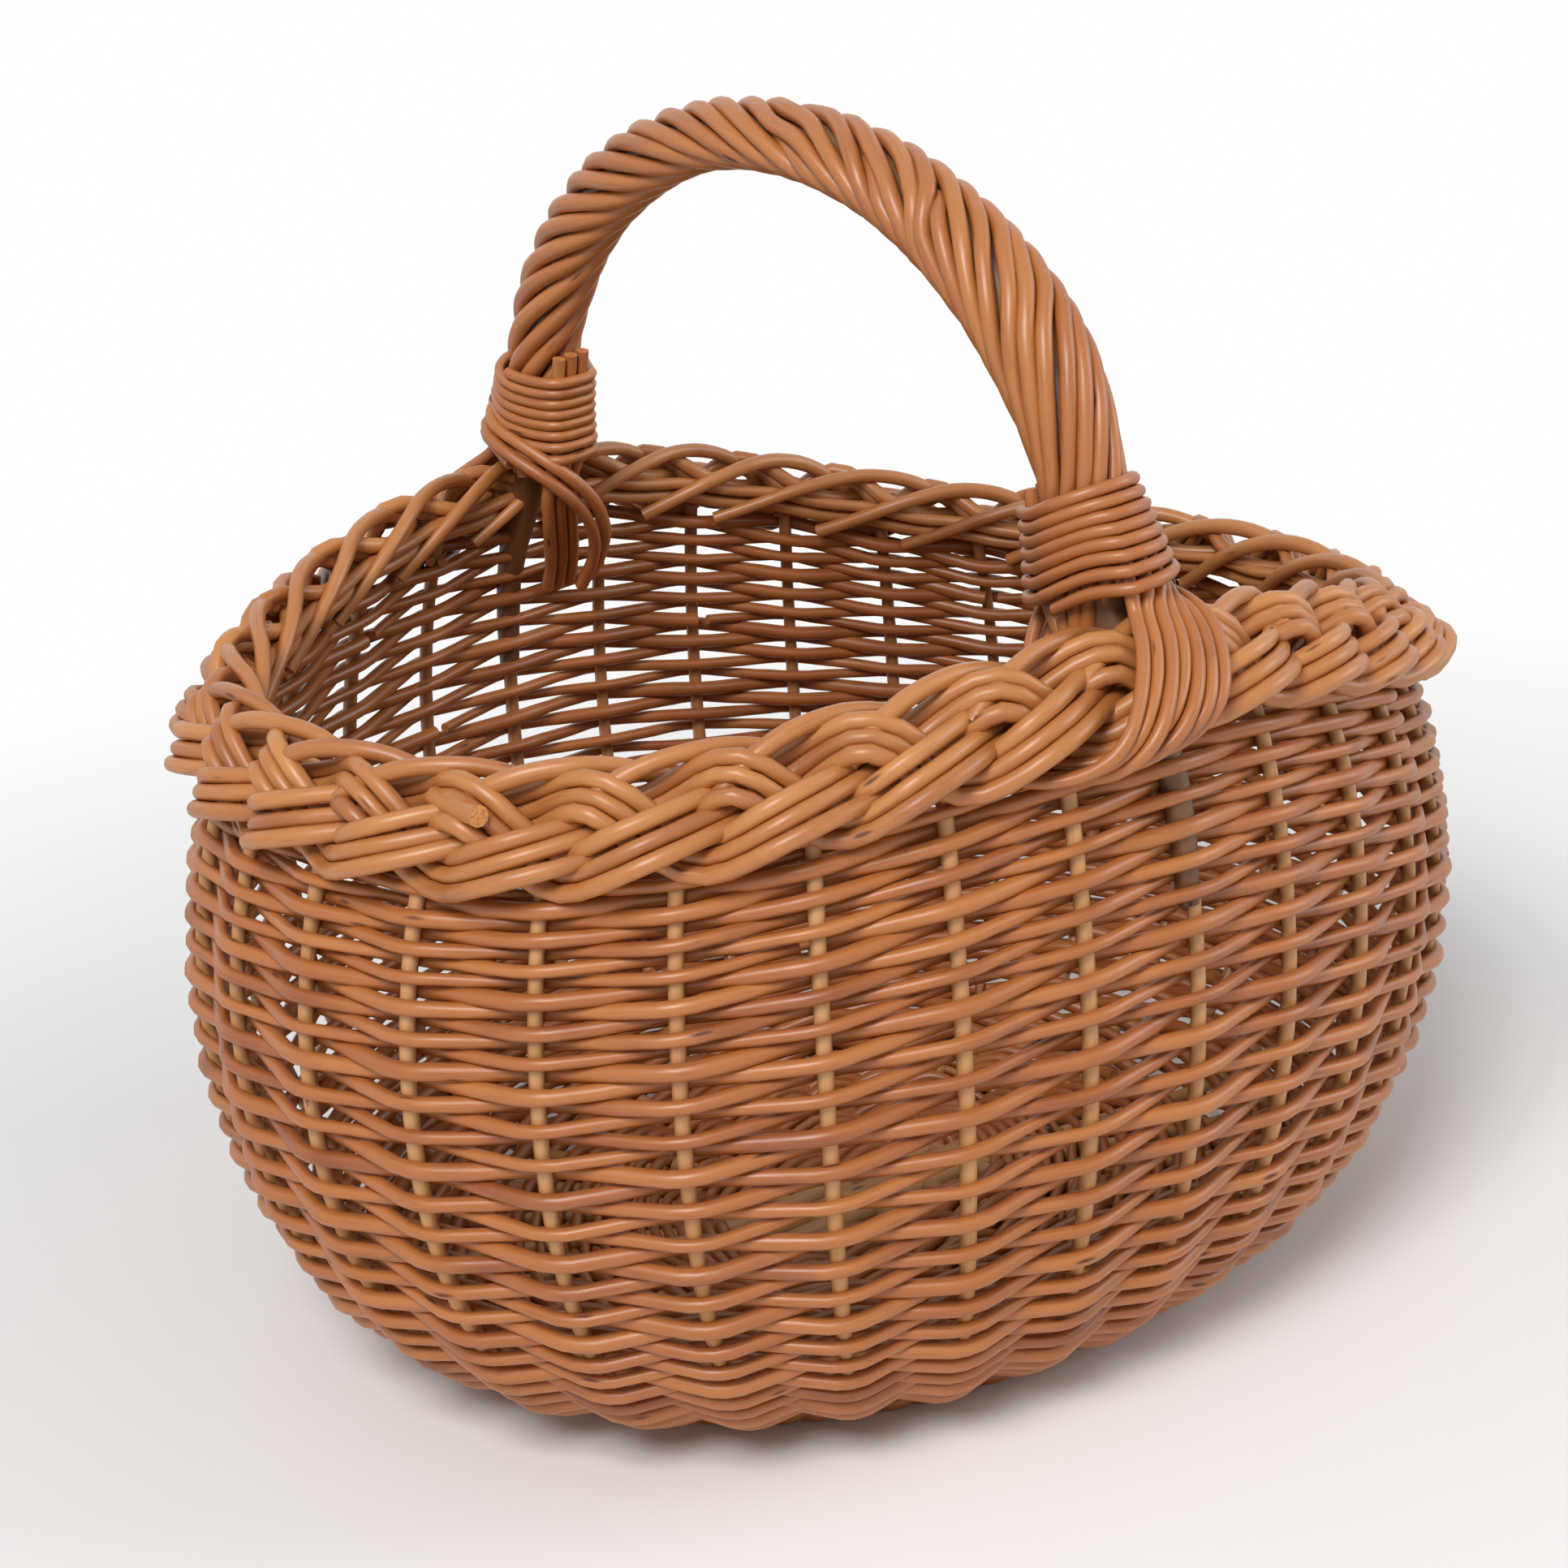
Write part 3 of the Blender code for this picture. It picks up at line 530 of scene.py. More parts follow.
wall_steps = np.linspace(0, 1, 201)
WALL = np.stack([bezier(WALL_OUT, wall_steps), bezier(WALL_RISE, wall_steps)], axis=1)
WALL_LENGTHS = lengths(WALL * ((RIM_LENGTH + RIM_WIDTH) / 4, RIM_HEIGHT - STAKE_TOP_DROP - BASE_LEVEL))


def wall_point(turn, out, rise):
    """A place at a share of the oval and of the height."""
    angle = angle_at(turn)
    top = rim_height(angle) - STAKE_TOP_DROP
    return raised(oval(angle) * RIM_HALF * np.asarray(out)[..., None], BASE_LEVEL + rise * (top - BASE_LEVEL))


print("rim girth, mm:", round(RIM_GIRTH * 1000), "wall along its curve, mm:", round(WALL_LENGTHS[-1] * 1000))

# %% [markdown]
# ## Stakes
# Thirty-one stakes run out from the heart of the base and turn up into the wall. An odd number matters:
# one weaver that goes round and round then comes to each stake on the other side every time. A tree
# could place them too, but they are few and follow one line, so Python does it. The same
# generator of chance numbers serves all rods, so its order is part of the basket.

# %% Stakes
HEART_SHARE = 0.42
BASE_STEPS, WALL_STEP = 8, 4
rng = np.random.default_rng(4)
stake_rods = []
out = np.concatenate((np.linspace(HEART_SHARE, WALL_OUT[0], BASE_STEPS + 1)[:-1], WALL[::WALL_STEP, 0]))
rise = np.concatenate((np.zeros(BASE_STEPS), WALL[::WALL_STEP, 1]))
for index in range(STAKES):
    points = wall_point(np.full(len(out), index / STAKES), out, rise)
    radii = np.linspace(1.06, 0.95, len(points)) * STAKE_RADIUS * rng.uniform(0.95, 1.06)
    stake_rods.append((points, radii, index + 1))
rods_piece("stakes", stake_rods, "stake_willow", [f"stake_{i + 1:02d}" for i in range(STAKES)])

# %% [markdown]
# ## A tree that weaves
# The wall has fifty rows, and every row obeys one rule: outside one stake, inside the next, straight
# between them. That calls for Geometry Nodes. The guide is a sheet with a map of (turn, climb). The
# tree lays a line of points round and round it, asks the sheet for its place and its outward direction
# at each point, and moves the point out or in by half a stake and half a rod. The sheet has one column
# of faces per stake, so rods run straight from stake to stake, and a blur rounds them where they bend.

# %% The weaving tree
SHEET_EDGE = 0.0005
bench, given = new_tree("weave on a sheet", {
    "Geometry": None, "Points": 100, "Steps": 8, "Stakes": 31.0, "First": 0.0, "Side": 0.0,
    "Climb Start": 0.0, "Climb Per Turn": 0.02, "Stake Radius": 0.0022, "Low Rod": 0.002,
    "High Rod": 0.0018, "Taper": 0.2, "Press": 1.0, "Wander": 0.1, "Stretch": 38.0, "Rounding": 2,
    "Seed": 1.0, "Sides": 10, "Material": None})
line = bench.node("GeometryNodeMeshLine", None, {"Count": given["Points"], "Offset": (0.0, 0.0, 0.0)})
crossing = bench.node("GeometryNodeInputIndex") / given["Steps"] + given["First"]
turn = crossing / given["Stakes"]
walk = bench.node("ShaderNodeCombineXYZ", None, {"X": crossing * 0.9, "Y": given["Seed"]})
drift = bench.node("ShaderNodeTexNoise", {"noise_dimensions": "2D"},
                   {"Vector": walk, "Scale": 1.0, "Detail": 2.0})["Fac"]
climb = given["Climb Start"] + turn * given["Climb Per Turn"]
climb = climb + (drift - 0.5) * given["Wander"] * given["Climb Per Turn"]
climb = climb.clamped(SHEET_EDGE, 1 - SHEET_EDGE)
spot_on = bench.node("ShaderNodeCombineXYZ", None, {"X": turn.math("FRACT"), "Y": climb})
sheet_map = attribute(bench, "sheet", "FLOAT_VECTOR")


def asked(what):
    """What the sheet says at each point of the line."""
    return bench.node("GeometryNodeSampleUVSurface", {"data_type": "FLOAT_VECTOR"},
                      {"Mesh": given["Geometry"], "Value": what, "Source UV Map": sheet_map,
                       "Sample UV": spot_on})


middle = asked(position(bench))
outward = asked(attribute(bench, "outward", "FLOAT_VECTOR"))
zigzag = 1 - (crossing + given["Side"]).math("PINGPONG", 1.0) * 2
thick = given["Low Rod"] + (given["High Rod"] - given["Low Rod"]) * climb
reach = zigzag * (thick + given["Stake Radius"]) * given["Press"]
line = bench.node("GeometryNodeSetPosition", None, {"Geometry": line, "Position": middle + outward * reach})
blur = bench.node("GeometryNodeBlurAttribute", {"data_type": "FLOAT_VECTOR"},
                  {"Value": position(bench), "Iterations": given["Rounding"]})
line = bench.node("GeometryNodeSetPosition", None, {"Geometry": line, "Position": blur})
print("points of a weaver lie on the sheet, pushed out and in")

# %% [markdown]
# ## Where one weaver ends and the next begins
# A weaver is used up after about one round, and the next one starts beside its tip. The tree therefore
# gives each stretch of the long line a number, cuts the line where the number changes, and lets each
# piece taper from butt to tip, as a real rod does.

# %% Cutting the weavers
line = stored(bench, line, "thick", thick)
line = stored(bench, line, "rod", ((crossing + given["Side"] + 1) / given["Stretch"]).math("FLOOR"))
loose = attribute(bench, "rod").math("FRACT").math("GREATER_THAN", 0.1)
line = bench.node("GeometryNodeDeleteGeometry", {"domain": "EDGE", "mode": "EDGE_FACE"},
                  {"Geometry": line, "Selection": loose})
curve = bench.node("GeometryNodeMeshToCurve", None, {"Mesh": line})
share = bench.node("GeometryNodeSplineParameter")["Factor"]
curve = stored(bench, curve, "rod", attribute(bench, "rod") + given["Seed"] * 0.37)
tapered = attribute(bench, "thick") * (1 + (0.5 - share) * given["Taper"])
round_body(bench, curve, tapered * (1 + (knots(bench, 70.0) - 0.5) * 0.16), given["Sides"], given["Material"])
WEAVE = bench.tree
print("tree:", WEAVE.name, len(WEAVE.nodes), "nodes")

# %% [markdown]
# ## A sheet to weave on
# The wall, the base and the heart of the base are woven by the same rule on three surfaces. So the
# surface is a guide of its own: a grid of faces over a function that gives the place at a turn and
# a climb. Its outward way is measured from that function too, because the faces are too large for it.

# %% A sheet to weave on
SMALL_STEP = 1e-3


def sheet(columns, rows, place):
    """A guide sheet over place(turn, climb). Each point's outward way is worked out here."""
    turns = np.repeat(np.arange(columns + 1)[None] / columns, rows + 1, axis=0)
    climbs = np.repeat(np.arange(rows + 1)[:, None] / rows, columns + 1, axis=1)
    places = place(turns, climbs)
    across = place(turns + SMALL_STEP, climbs) - place(turns - SMALL_STEP, climbs)
    up = place(turns, np.minimum(climbs + SMALL_STEP, 1)) - place(turns, np.maximum(climbs - SMALL_STEP, 0))
    outward = np.cross(across, up)
    outward /= np.linalg.norm(outward, axis=-1, keepdims=True)
    mesh = bpy.data.meshes.new("guide")
    wide = columns + 1
    faces = [(j * wide + i, j * wide + i + 1, (j + 1) * wide + i + 1, (j + 1) * wide + i)
             for j in range(rows) for i in range(columns)]
    mesh.from_pydata([tuple(p) for p in places.reshape(-1, 3)], [], faces)
    for label, data in (("outward", outward), ("sheet", np.stack([turns, climbs, 0 * turns], axis=-1))):
        made = mesh.attributes.new(label, "FLOAT_VECTOR", "POINT")
        made.data.foreach_set("vector", data.reshape(-1).astype(np.float32))
    return shown("guide", mesh)


def woven(name, guide, replaced, settings):
    """Weaves rods on a sheet, as one piece that stands for one part of the measured model."""
    piece = grown(WEAVE, guide, name, {**settings, "Material": WILLOWS["weaver_willow"]})
    placed(piece, [replaced])


print("the sheet's outward way is measured over, m:", SMALL_STEP)

# %% [markdown]
# ## The woven wall
# The rows lie closer together near the rim and the foot than at the belly. The sheet's climb is
# therefore counted in rows and not in millimetres. The wall is woven in four bands, as it is in the CAD
# model, and each band takes up where the last one stopped.

# %% Wall
ROWS, STEPS, SHEET_ROWS = 50, 8, 100
ROW_FIRST, ROW_LAST = 0.0085, 0.988
PITCH = ((0, 0.88), (0.26, 0.90), (0.38, 1.10), (0.62, 1.14), (0.78, 0.92), (1, 0.82))
BANDS = {"siding_lower": (0, 13), "siding_belly": (13, 25), "siding_middle": (25, 37),
         "siding_upper": (37, ROWS)}
places = np.linspace(ROW_FIRST, ROW_LAST, 400)
counts = np.cumsum(1 / np.interp(places, *zip(*PITCH)))
counts -= counts[0]
row_place = places * WALL_LENGTHS[-1]


def wall_at(turn, climb):
    along = np.interp(climb, counts / counts[-1], row_place)
    return wall_point(turn, *(np.interp(along, WALL_LENGTHS, WALL[:, i]) for i in (0, 1)))


pitches = np.diff(np.interp(np.linspace(0, 1, ROWS + 1), counts / counts[-1], row_place)) * 1000
print("row pitch low, middle and high, mm:", pitches[[0, ROWS // 2, -1]].round(2))
for name, (first, last) in BANDS.items():
    woven("woven_" + name, sheet(STAKES, SHEET_ROWS, wall_at), name, {
        "Points": (last - first) * STAKES * STEPS + 1, "Steps": STEPS, "Stakes": float(STAKES),
        "First": float(first * STAKES), "Climb Per Turn": 1 / ROWS, "Stake Radius": STAKE_RADIUS,
        "Low Rod": 0.00226, "High Rod": 0.00196, "Wander": 0.45, "Rounding": 1})

# %% [markdown]
# ## Letting rods settle
# A drawn plait has rods that cut a little into each other where they cross. Real rods push each other
# aside until they only touch. The helper below does the same: wherever two points of different rods are
# nearer than the rods are thick, both move apart, and a moved stretch drags its neighbours along, because
# willow is stiff. It is plain numpy, has no chance in it, and takes a few seconds.

# %% Settling
LOOK_EVERY, LOOK_REACH, OWN_REACH, PUSH = 12, 0.0085, 5, 1.4


def settle(lines, radii, rounds=60, closed=False, pinned=None):
    """Pushes the points of several lines apart until their rods only touch."""
    start = np.concatenate(lines)
    owner = np.concatenate([np.full(len(line), i) for i, line in enumerate(lines)])
    order = np.concatenate([np.arange(len(line)) for line in lines])
    size = np.concatenate([np.full(len(line), len(line)) for line in lines])
    thick = np.concatenate([np.broadcast_to(r, len(line)) for r, line in zip(radii, lines)])
    firsts = np.cumsum([0] + [len(line) for line in lines])
    own_first = firsts[owner]
    back, ahead = order - 1, order + 1
    if closed:
        back, ahead = own_first + back % size, own_first + ahead % size
    else:
        back, ahead = own_first + np.maximum(back, 0), own_first + np.minimum(ahead, size - 1)
    free = np.ones(len(start)) if pinned is None else 1 - np.concatenate(pinned)
    moved = np.zeros_like(start)
    for go in range(rounds):
        now = start + moved
        if go % LOOK_EVERY == 0:
            apart = np.linalg.norm(now[:, None] - now[None], axis=2)
            gap = np.abs(order[:, None] - order[None])
            gap = np.minimum(gap, size[:, None] - gap) if closed else gap
            near = (apart < LOOK_REACH) & ((owner[:, None] != owner[None]) | (gap > OWN_REACH))
            one, two = np.nonzero(np.triu(near, 1))
        away = now[one] - now[two]
        far = np.linalg.norm(away, axis=1) + 1e-9
        push = np.maximum(thick[one] + thick[two] - far, 0)[:, None] * away / far[:, None] * 0.5
        total, count = np.zeros_like(start), np.full(len(start), 1e-9)
        np.add.at(total, one, push)
        np.add.at(total, two, -push)
        touching = push[:, 0] != 0
        np.add.at(count, one[touching], 1)
        np.add.at(count, two[touching], 1)
        moved += total / np.maximum(count, 1)[:, None] * PUSH
        moved = moved * 0.5 + (moved[back] + moved[ahead]) * 0.25
        moved *= free[:, None]
    now = start + moved
    away = np.linalg.norm(now[one] - now[two], axis=1)
    print("settled", len(lines), "rods; largest move, mm:", round(float(np.abs(moved).max()) * 1000, 2),
          "deepest press left, mm:", round(float((thick[one] + thick[two] - away).max()) * 1000, 2))
    return [now[a:b] for a, b in zip(firsts[:-1], firsts[1:])]


print("rods nearer than this are looked at, mm:", LOOK_REACH * 1000)

# %% [markdown]
# ## A smooth line through a few stops
# The single rods further on follow no rule but the maker's hands, so their ways are short rows of stops.
# A spline through all stops can swing out between them. Cutting the corners off the row again and
# again gives a calmer line, which passes near its stops as a bent rod would.

# %% A smooth line
def flowing(stops, spacing=0.003, smooth=4):
    """A smooth line through the neighbourhood of its stops, in even steps."""
    points = np.array([tuple(s) for s in stops], dtype=float)
    for _ in range(smooth):
        quarter = points[:-1] * 0.75 + points[1:] * 0.25
        three = points[:-1] * 0.25 + points[1:] * 0.75
        points = np.concatenate([points[:1], np.stack([quarter, three], axis=1).reshape(-1, 3), points[-1:]])
    run = lengths(points)
    places = np.linspace(0, run[-1], max(int(run[-1] / spacing), 4) + 1)
    return np.stack([np.interp(places, run, points[:, i]) for i in range(3)], axis=1)


print("points of a line with three stops:", len(flowing([(0, 0, 0), (0.02, 0, 0), (0.02, 0.02, 0)])))

# %% [markdown]
# ## The plaited border
# The rim is a three-strand plait of three rods to a strand, laid over the top of the wall and tilted
# outward. Across the plait a strand swings like a sine wave, and square to its face it dives under and
# climbs over twice as often: that is the whole rule of a plait. One strand goes three times round, so
# it meets itself at every stake. The maker pulls it down hard and lets it come up slowly, which skews
# the wave. The side rods follow the middle one at a rod's width.

# %% Border
STRANDS, STRAND_RODS = 3, (-1, 0, 1)
WAVE_STEPS = 22
SWING, LIFT, SKEW, SHIFT = 0.0094, 0.0058, 0.32, 0.0009
PLAIT_TILT, END_TILT = math.radians(42), math.radians(15)
BORDER_ROD, ROD_PITCH = 0.00236, 2.02
TURN_STEP = 0.004


def unit(vectors):
    return vectors / np.linalg.norm(vectors, axis=-1, keepdims=True)


def rim_place(turn):
    angle = angle_at(turn)
    return raised(oval(angle) * RIM_HALF, rim_height(angle))


def rim_frame(turn):
    """The middle of the plait, the way across it, out and down, and the way square off its face."""
    turn = np.asarray(turn, dtype=float)
    along = unit(rim_place(turn + TURN_STEP) - rim_place(turn - TURN_STEP))
    out = unit(np.cross(along, (0.0, 0.0, 1.0)))
    up = np.cross(out, along)
    tilt = (PLAIT_TILT + END_TILT * np.clip(-np.cos(angle_at(turn)), 0, 1) ** 3)[..., None]
    across = out * np.cos(tilt) - up * np.sin(tilt)
    face = out * np.sin(tilt) + up * np.cos(tilt)
    return rim_place(turn), across, face


steps = np.arange(STAKES * WAVE_STEPS)
phase = math.tau * steps / WAVE_STEPS + math.pi / 8
middle, across, face = rim_frame(STRANDS * steps / len(steps))
uneven = 0.06 * np.sin(phase * 5 / STAKES + 1.0) + 0.05 * np.sin(phase * 13 / STAKES)
phase = phase + SKEW * np.sin(phase) + uneven
swing = SHIFT + SWING * (np.sin(phase) + 0.05 * np.sin(3 * phase))
core = middle + across * swing[:, None] - face * (LIFT * np.sin(2 * phase))[:, None]
sideways = unit(np.cross(face, np.roll(core, -1, axis=0) - np.roll(core, 1, axis=0)))
border_lines = settle([core + sideways * rank * ROD_PITCH * BORDER_ROD for rank in STRAND_RODS],
                      [BORDER_ROD] * len(STRAND_RODS), closed=True)

# %% [markdown]
# ## The roped handle
# A thick stick is bent into the bow. Rods are laid beside it and twisted round. Eight of them run all the
# way. The near leg has room for five more of the same thickness, and where the rope narrows they sink
# under their neighbours one by one, which leaves a dark recess at each place. Small tables hold what the
# maker's hands decide along the arch: the angle of the lay, how thick the rope and its rods are, and how
# far the rope is pushed outward. How fast a rod goes round and how many fit side by side follow from them.

# %% Bow and rope
HANDLE_X, LEG_REACH, SPRING, RISE = -0.0098, 0.12344, 0.24095, 0.1010
LAY = ((0, 14), (16, 16), (24, 20), (32, 27), (46, 30), (62, 31), (70, 28), (82, 25), (96, 26), (110, 24),
       (122, 26), (132, 30), (146, 27), (180, 26))
ROPE_OUT = ((0, 11.3), (14, 11.7), (24, 13.7), (30, 14.3), (40, 14.0), (50, 13.3), (60, 12.4), (72, 11.6),
            (84, 11.0), (96, 10.3), (108, 10.6), (120, 11.6), (140, 11.8), (155, 12.1), (166, 11.4),
            (180, 11.0))
PUSHED = ((0, 0), (14, 0.6), (28, 2.0), (40, 1.6), (55, 0.8), (90, 0.8), (104, 1.4), (136, 1.1), (152, 0.2),
          (180, 0))
ROD_THICK = ((0, 2.3), (14, 2.35), (26, 2.5), (50, 2.55), (70, 2.65), (90, 2.75), (110, 2.85), (130, 2.95),
             (155, 3.0), (180, 2.85))
SIDE_BY_SIDE = 2.04
ARCH_STEPS, ARCH_SMOOTHING = 150, 24
arch = np.linspace(0, math.pi, ARCH_STEPS + 1)


def bow_place(angle):
    return np.stack([0 * angle + HANDLE_X, -LEG_REACH * np.cos(angle), SPRING + RISE * np.sin(angle)],
                    axis=-1)


def bow_outward(angle):
    return unit(np.stack([0 * angle, -RISE * np.cos(angle), LEG_REACH * np.sin(angle)], axis=-1))


def along_arch(table):
    """A smooth line through pairs of degrees along the arch and a value there."""
    values = np.interp(np.degrees(arch), *zip(*table))
    for _ in range(ARCH_SMOOTHING):
        values[1:-1] = values[1:-1] * 0.5 + (values[2:] + values[:-2]) * 0.25
    return values


lay = np.radians(along_arch(LAY))
rope_out, pushed, rod_thick = (along_arch(t) / 1000 for t in (ROPE_OUT, PUSHED, ROD_THICK))
rope_reach = rope_out - rod_thick
rope_axis = bow_place(arch) + bow_outward(arch) * pushed[:, None]
speed = np.tan(lay) / rope_reach
spin = np.concatenate(([0.0], np.cumsum((speed[1:] + speed[:-1]) / 2 * np.diff(lengths(rope_axis)))))
room = math.tau * rope_reach * np.cos(lay) / (SIDE_BY_SIDE * rod_thick)
room = np.maximum.accumulate(room[::-1])[::-1]
print("turns of the rope:", round(spin[-1] / math.tau, 2), "rods that fit side by side:", room[::25].round(1))

# %% [markdown]
# ## Laying the rods of the rope
# A rope like this is often drawn with one twisted picture, but then no rod is in front of another. Here
# each rod is a line round the rope's middle. A rod that sinks gets a share that falls from one to
# nothing: its neighbours close up by that share, while it grows thinner and dives towards the bow. Small
# waves along each rod keep it from lying as true as a machine would lay it.

# %% Rods of the rope
ROPE_RODS = 8
SINKS_AFTER = {1: 0, 3: 3, 4: 1, 6: 4, 7: 2}
RECESS_ROD, RECESS_AT, RECESS_FACING = 2, math.radians(79), -1.9
SINK_FROM, SINK_OVER, SINK_DEPTH, GONE = 0.3, 0.6, 1.3, 0.02


def rope_line(around, reach):
    """A line round the rope's middle at these angles and reaches."""
    sideways = np.stack([np.sin(around), 0 * around, 0 * around], axis=1)
    return rope_axis + reach[:, None] * (bow_outward(arch) * np.cos(around)[:, None] + sideways)


ring = []
for index in range(ROPE_RODS):
    ring.append(np.ones(ARCH_STEPS + 1))
    if index in SINKS_AFTER:
        left = np.clip((room - ROPE_RODS - SINKS_AFTER[index] - SINK_FROM) / SINK_OVER, 0, 1)
        ring.append(left * left * (3 - 2 * left))
ring = np.array(ring)
ways = math.tau * (np.cumsum(ring, axis=0) - ring / 2) / ring.sum(axis=0) + spin
ways += RECESS_FACING - np.interp(RECESS_AT, arch, ways[RECESS_ROD])
rope_lines = []
for index, (around, share) in enumerate(zip(ways, ring)):
    around = around + 0.045 * np.sin(arch * 4.3 + index * 2.4) + 0.03 * np.sin(arch * 9.1 + index * 1.3)
    thick = rod_thick * (0.55 + 0.45 * share) * (0.925 + 0.03 * np.sin(arch * 3 + index * 2.1))
    line = rope_line(around, rope_reach - rod_thick * SINK_DEPTH * (1 - share) ** 0.6)
    stop = int(np.argmax(share < GONE)) or len(line)
    rope_lines.append((line[:stop], thick[:stop], around[:stop]))
print("rods in the rope:", len(rope_lines), "of which all the way:", ROPE_RODS)

# %% [markdown]
# ## Feet of the handle
# At each foot the roped rods part. Seven swing outward, pass over the plait, and turn under its outer
# edge, so that they pull the handle down on the rim. The others run on down the inside of the wall
# beside the bow. Each rod's way is a few stops, given in the plait's own directions (along the rim, across
# it and off its face) or beside the leg, and a smooth line is drawn through them. The near and the
# far foot are the same work, seen from either side.

# %% Places beside a leg and over the plait
LEGS = {-1: "near", 1: "far"}
NEAR_TURN, FAR_TURN = 0.740754, 0.259246
FOOT_TURN = {-1: NEAR_TURN, 1: FAR_TURN}


def leg_axis(height):
    """How far out the middle of a leg stands at a height, and straight down below the spring of the bow."""
    lift = np.clip((np.asarray(height) - SPRING) / RISE, 0, 1)
    return LEG_REACH * np.sqrt(1 - lift ** 2)


def by_leg(side, out, x, height):
    """A place beside the leg: out from its middle, along X from it, at a height."""
    return Vector((HANDLE_X + x, side * (leg_axis(height) + out), height))


def on_plait(turn, w, f):
    """A place on the plait: w across it, f off its face."""
    middle, across, face = rim_frame(np.array([turn]))
    return middle[0] + across[0] * w + face[0] * f


def over_plait(side, s, w, f):
    """A place on the plait, s along the rim from the leg towards +X."""
    return Vector(on_plait(FOOT_TURN[side] - side * s / RIM_GIRTH, w, f))


def between(first, last, share):
    return first + (last - first) * share


print("a leg stands this far from the middle, mm:", LEG_REACH * 1000)

# %% [markdown]
# ## The fans
# The seven rods of a foot lie side by side like the ribs of a fan: pressed into a row round the leg where
# they leave the binding, spread out over the plait, and together again under its edge. So the first
# and the last rib are given, and the others share the room between them. Then the ribs and the
# plait's rods settle against each other, with the plait held almost still.

# %% The fans
FAN_RODS, FAN_RADIUS, FAN_STEP = 7, 0.00195, 0.0026
FAN_START, FAN_LEAVES, FAN_WIDE, FAN_REACH, FAN_SPREAD = 0.0098, 0.0108, 0.0125, 0.0100, 0.0112
BIND_LOW, BIND_MIDDLE, BIND_HIGH = 0.2375, 0.252, 0.2630
FAN_FACING = (math.radians(-12), math.radians(92))
PLAIT_HOLD, HELD_UNTIL, RELEASE_OVER = 0.8, 0.012, 0.006
FAN_OVER = ((-0.0035, 0.0135, -0.0135, 0.0092), (-0.0090, 0.0120, -0.0020, 0.0106),
            (-0.0165, 0.0050, 0.0100, 0.0100), (-0.0230, -0.0050, 0.0182, 0.0060),
            (-0.0290, -0.0160, 0.0200, -0.0005), (-0.0370, -0.0290, 0.0160, -0.0070),
            (-0.0460, -0.0400, 0.0080, -0.0110))


def fan_stops(side, share):
    facing = between(*FAN_FACING, share)
    c, s = math.cos(facing), math.sin(facing)
    reach = FAN_REACH + FAN_SPREAD * max(c, 0) ** 1.3
    return [by_leg(side, FAN_START * c, FAN_START * s, BIND_HIGH - 0.004),
            by_leg(side, between(FAN_LEAVES, reach, 0.35) * c, FAN_WIDE * s, BIND_MIDDLE),
            by_leg(side, reach * c, (reach + 0.001) * s, BIND_LOW),
            *(over_plait(side, between(first, last, share), w, f) for first, last, w, f in FAN_OVER)]


def softened(line):
    """Twice as many points on a closed line, with its corners eased."""
    halves = (line + np.roll(line, -1, axis=0)) / 2
    eased = line * 0.5 + (np.roll(line, 1, axis=0) + np.roll(line, -1, axis=0)) * 0.25
    return np.stack([eased, halves], axis=1).reshape(-1, 3)


fans = [flowing(fan_stops(side, index / (FAN_RODS - 1)), FAN_STEP)
        for side in LEGS for index in range(FAN_RODS)]
plait = len(border_lines)
held = [np.full(len(line), PLAIT_HOLD) for line in border_lines]
held += [np.clip((HELD_UNTIL - lengths(line)) / RELEASE_OVER, 0, 1) for line in fans]
settled = settle(border_lines + fans, [BORDER_ROD] * plait + [FAN_RADIUS] * len(fans), rounds=36, pinned=held)
border_lines, fans = [softened(line) for line in settled[:plait]], settled[plait:]

# %% [markdown]
# ## Rods of the plait
# On the real plait each rod is used up after a few crossings, and its end lies hidden under a crossing.
# One endless rod would have one tone all round. So each line is cut where it lies hidden, and
# every stretch is a rod with a tone and a thickness of its own.

# %% Rods of the plait
CUT_WAVES = 3
border_rods = []
for rank, line in enumerate(border_lines):
    closed = np.concatenate([line, line[:1]])
    wave = len(line) // STAKES
    stops = [int((w + rank + 0.02) * wave) for w in range(0, STAKES - 1, CUT_WAVES)] + [len(line)]
    stops[0] = 0
    for number, (first, last) in enumerate(zip(stops[:-1], stops[1:])):
        tone = rng.uniform(0.96, 1.05)
        border_rods.append((closed[first:last + 1], BORDER_ROD * tone, 200 + rank * 40 + number))
print("rods in the plait:", len(border_rods))

# %% [markdown]
# ## Rods along the inner edge
# At every stake one long rod comes out of the plait on the side of the opening, runs along its inner
# edge and dives under it again. They overlap like the scales of a fish. Their way is the same at every
# stake, so one row of stops serves all of them: millimetres along the rim, then metres across the plait
# and off its face. Chance only changes each rod's length and thickness a little.

# %% Rods along the inner edge
EDGE_ROD = 0.0024
EDGE_WAY = ((-38, -0.0030, 0.0010), (-30, -0.0085, 0.0040), (-18, -0.0138, 0.0048), (-4, -0.0168, 0.0022),
            (8, -0.0178, -0.0030), (20, -0.0145, -0.0074), (31, -0.0078, -0.0106), (43, 0.0004, -0.0130))
for index in range(STAKES):
    stretch = rng.uniform(0.92, 1.1)
    line = flowing([on_plait((index + 0.4) / STAKES + s * 0.001 * stretch / RIM_GIRTH, w, f)
                    for s, w, f in EDGE_WAY], 0.004, 3)
    radii = EDGE_ROD * np.linspace(1.06, 0.9, len(line)) * rng.uniform(0.94, 1.08)
    border_rods.append((line, radii, 330 + index))
print("length of an edge rod, mm:", round(lengths(line)[-1] * 1000))

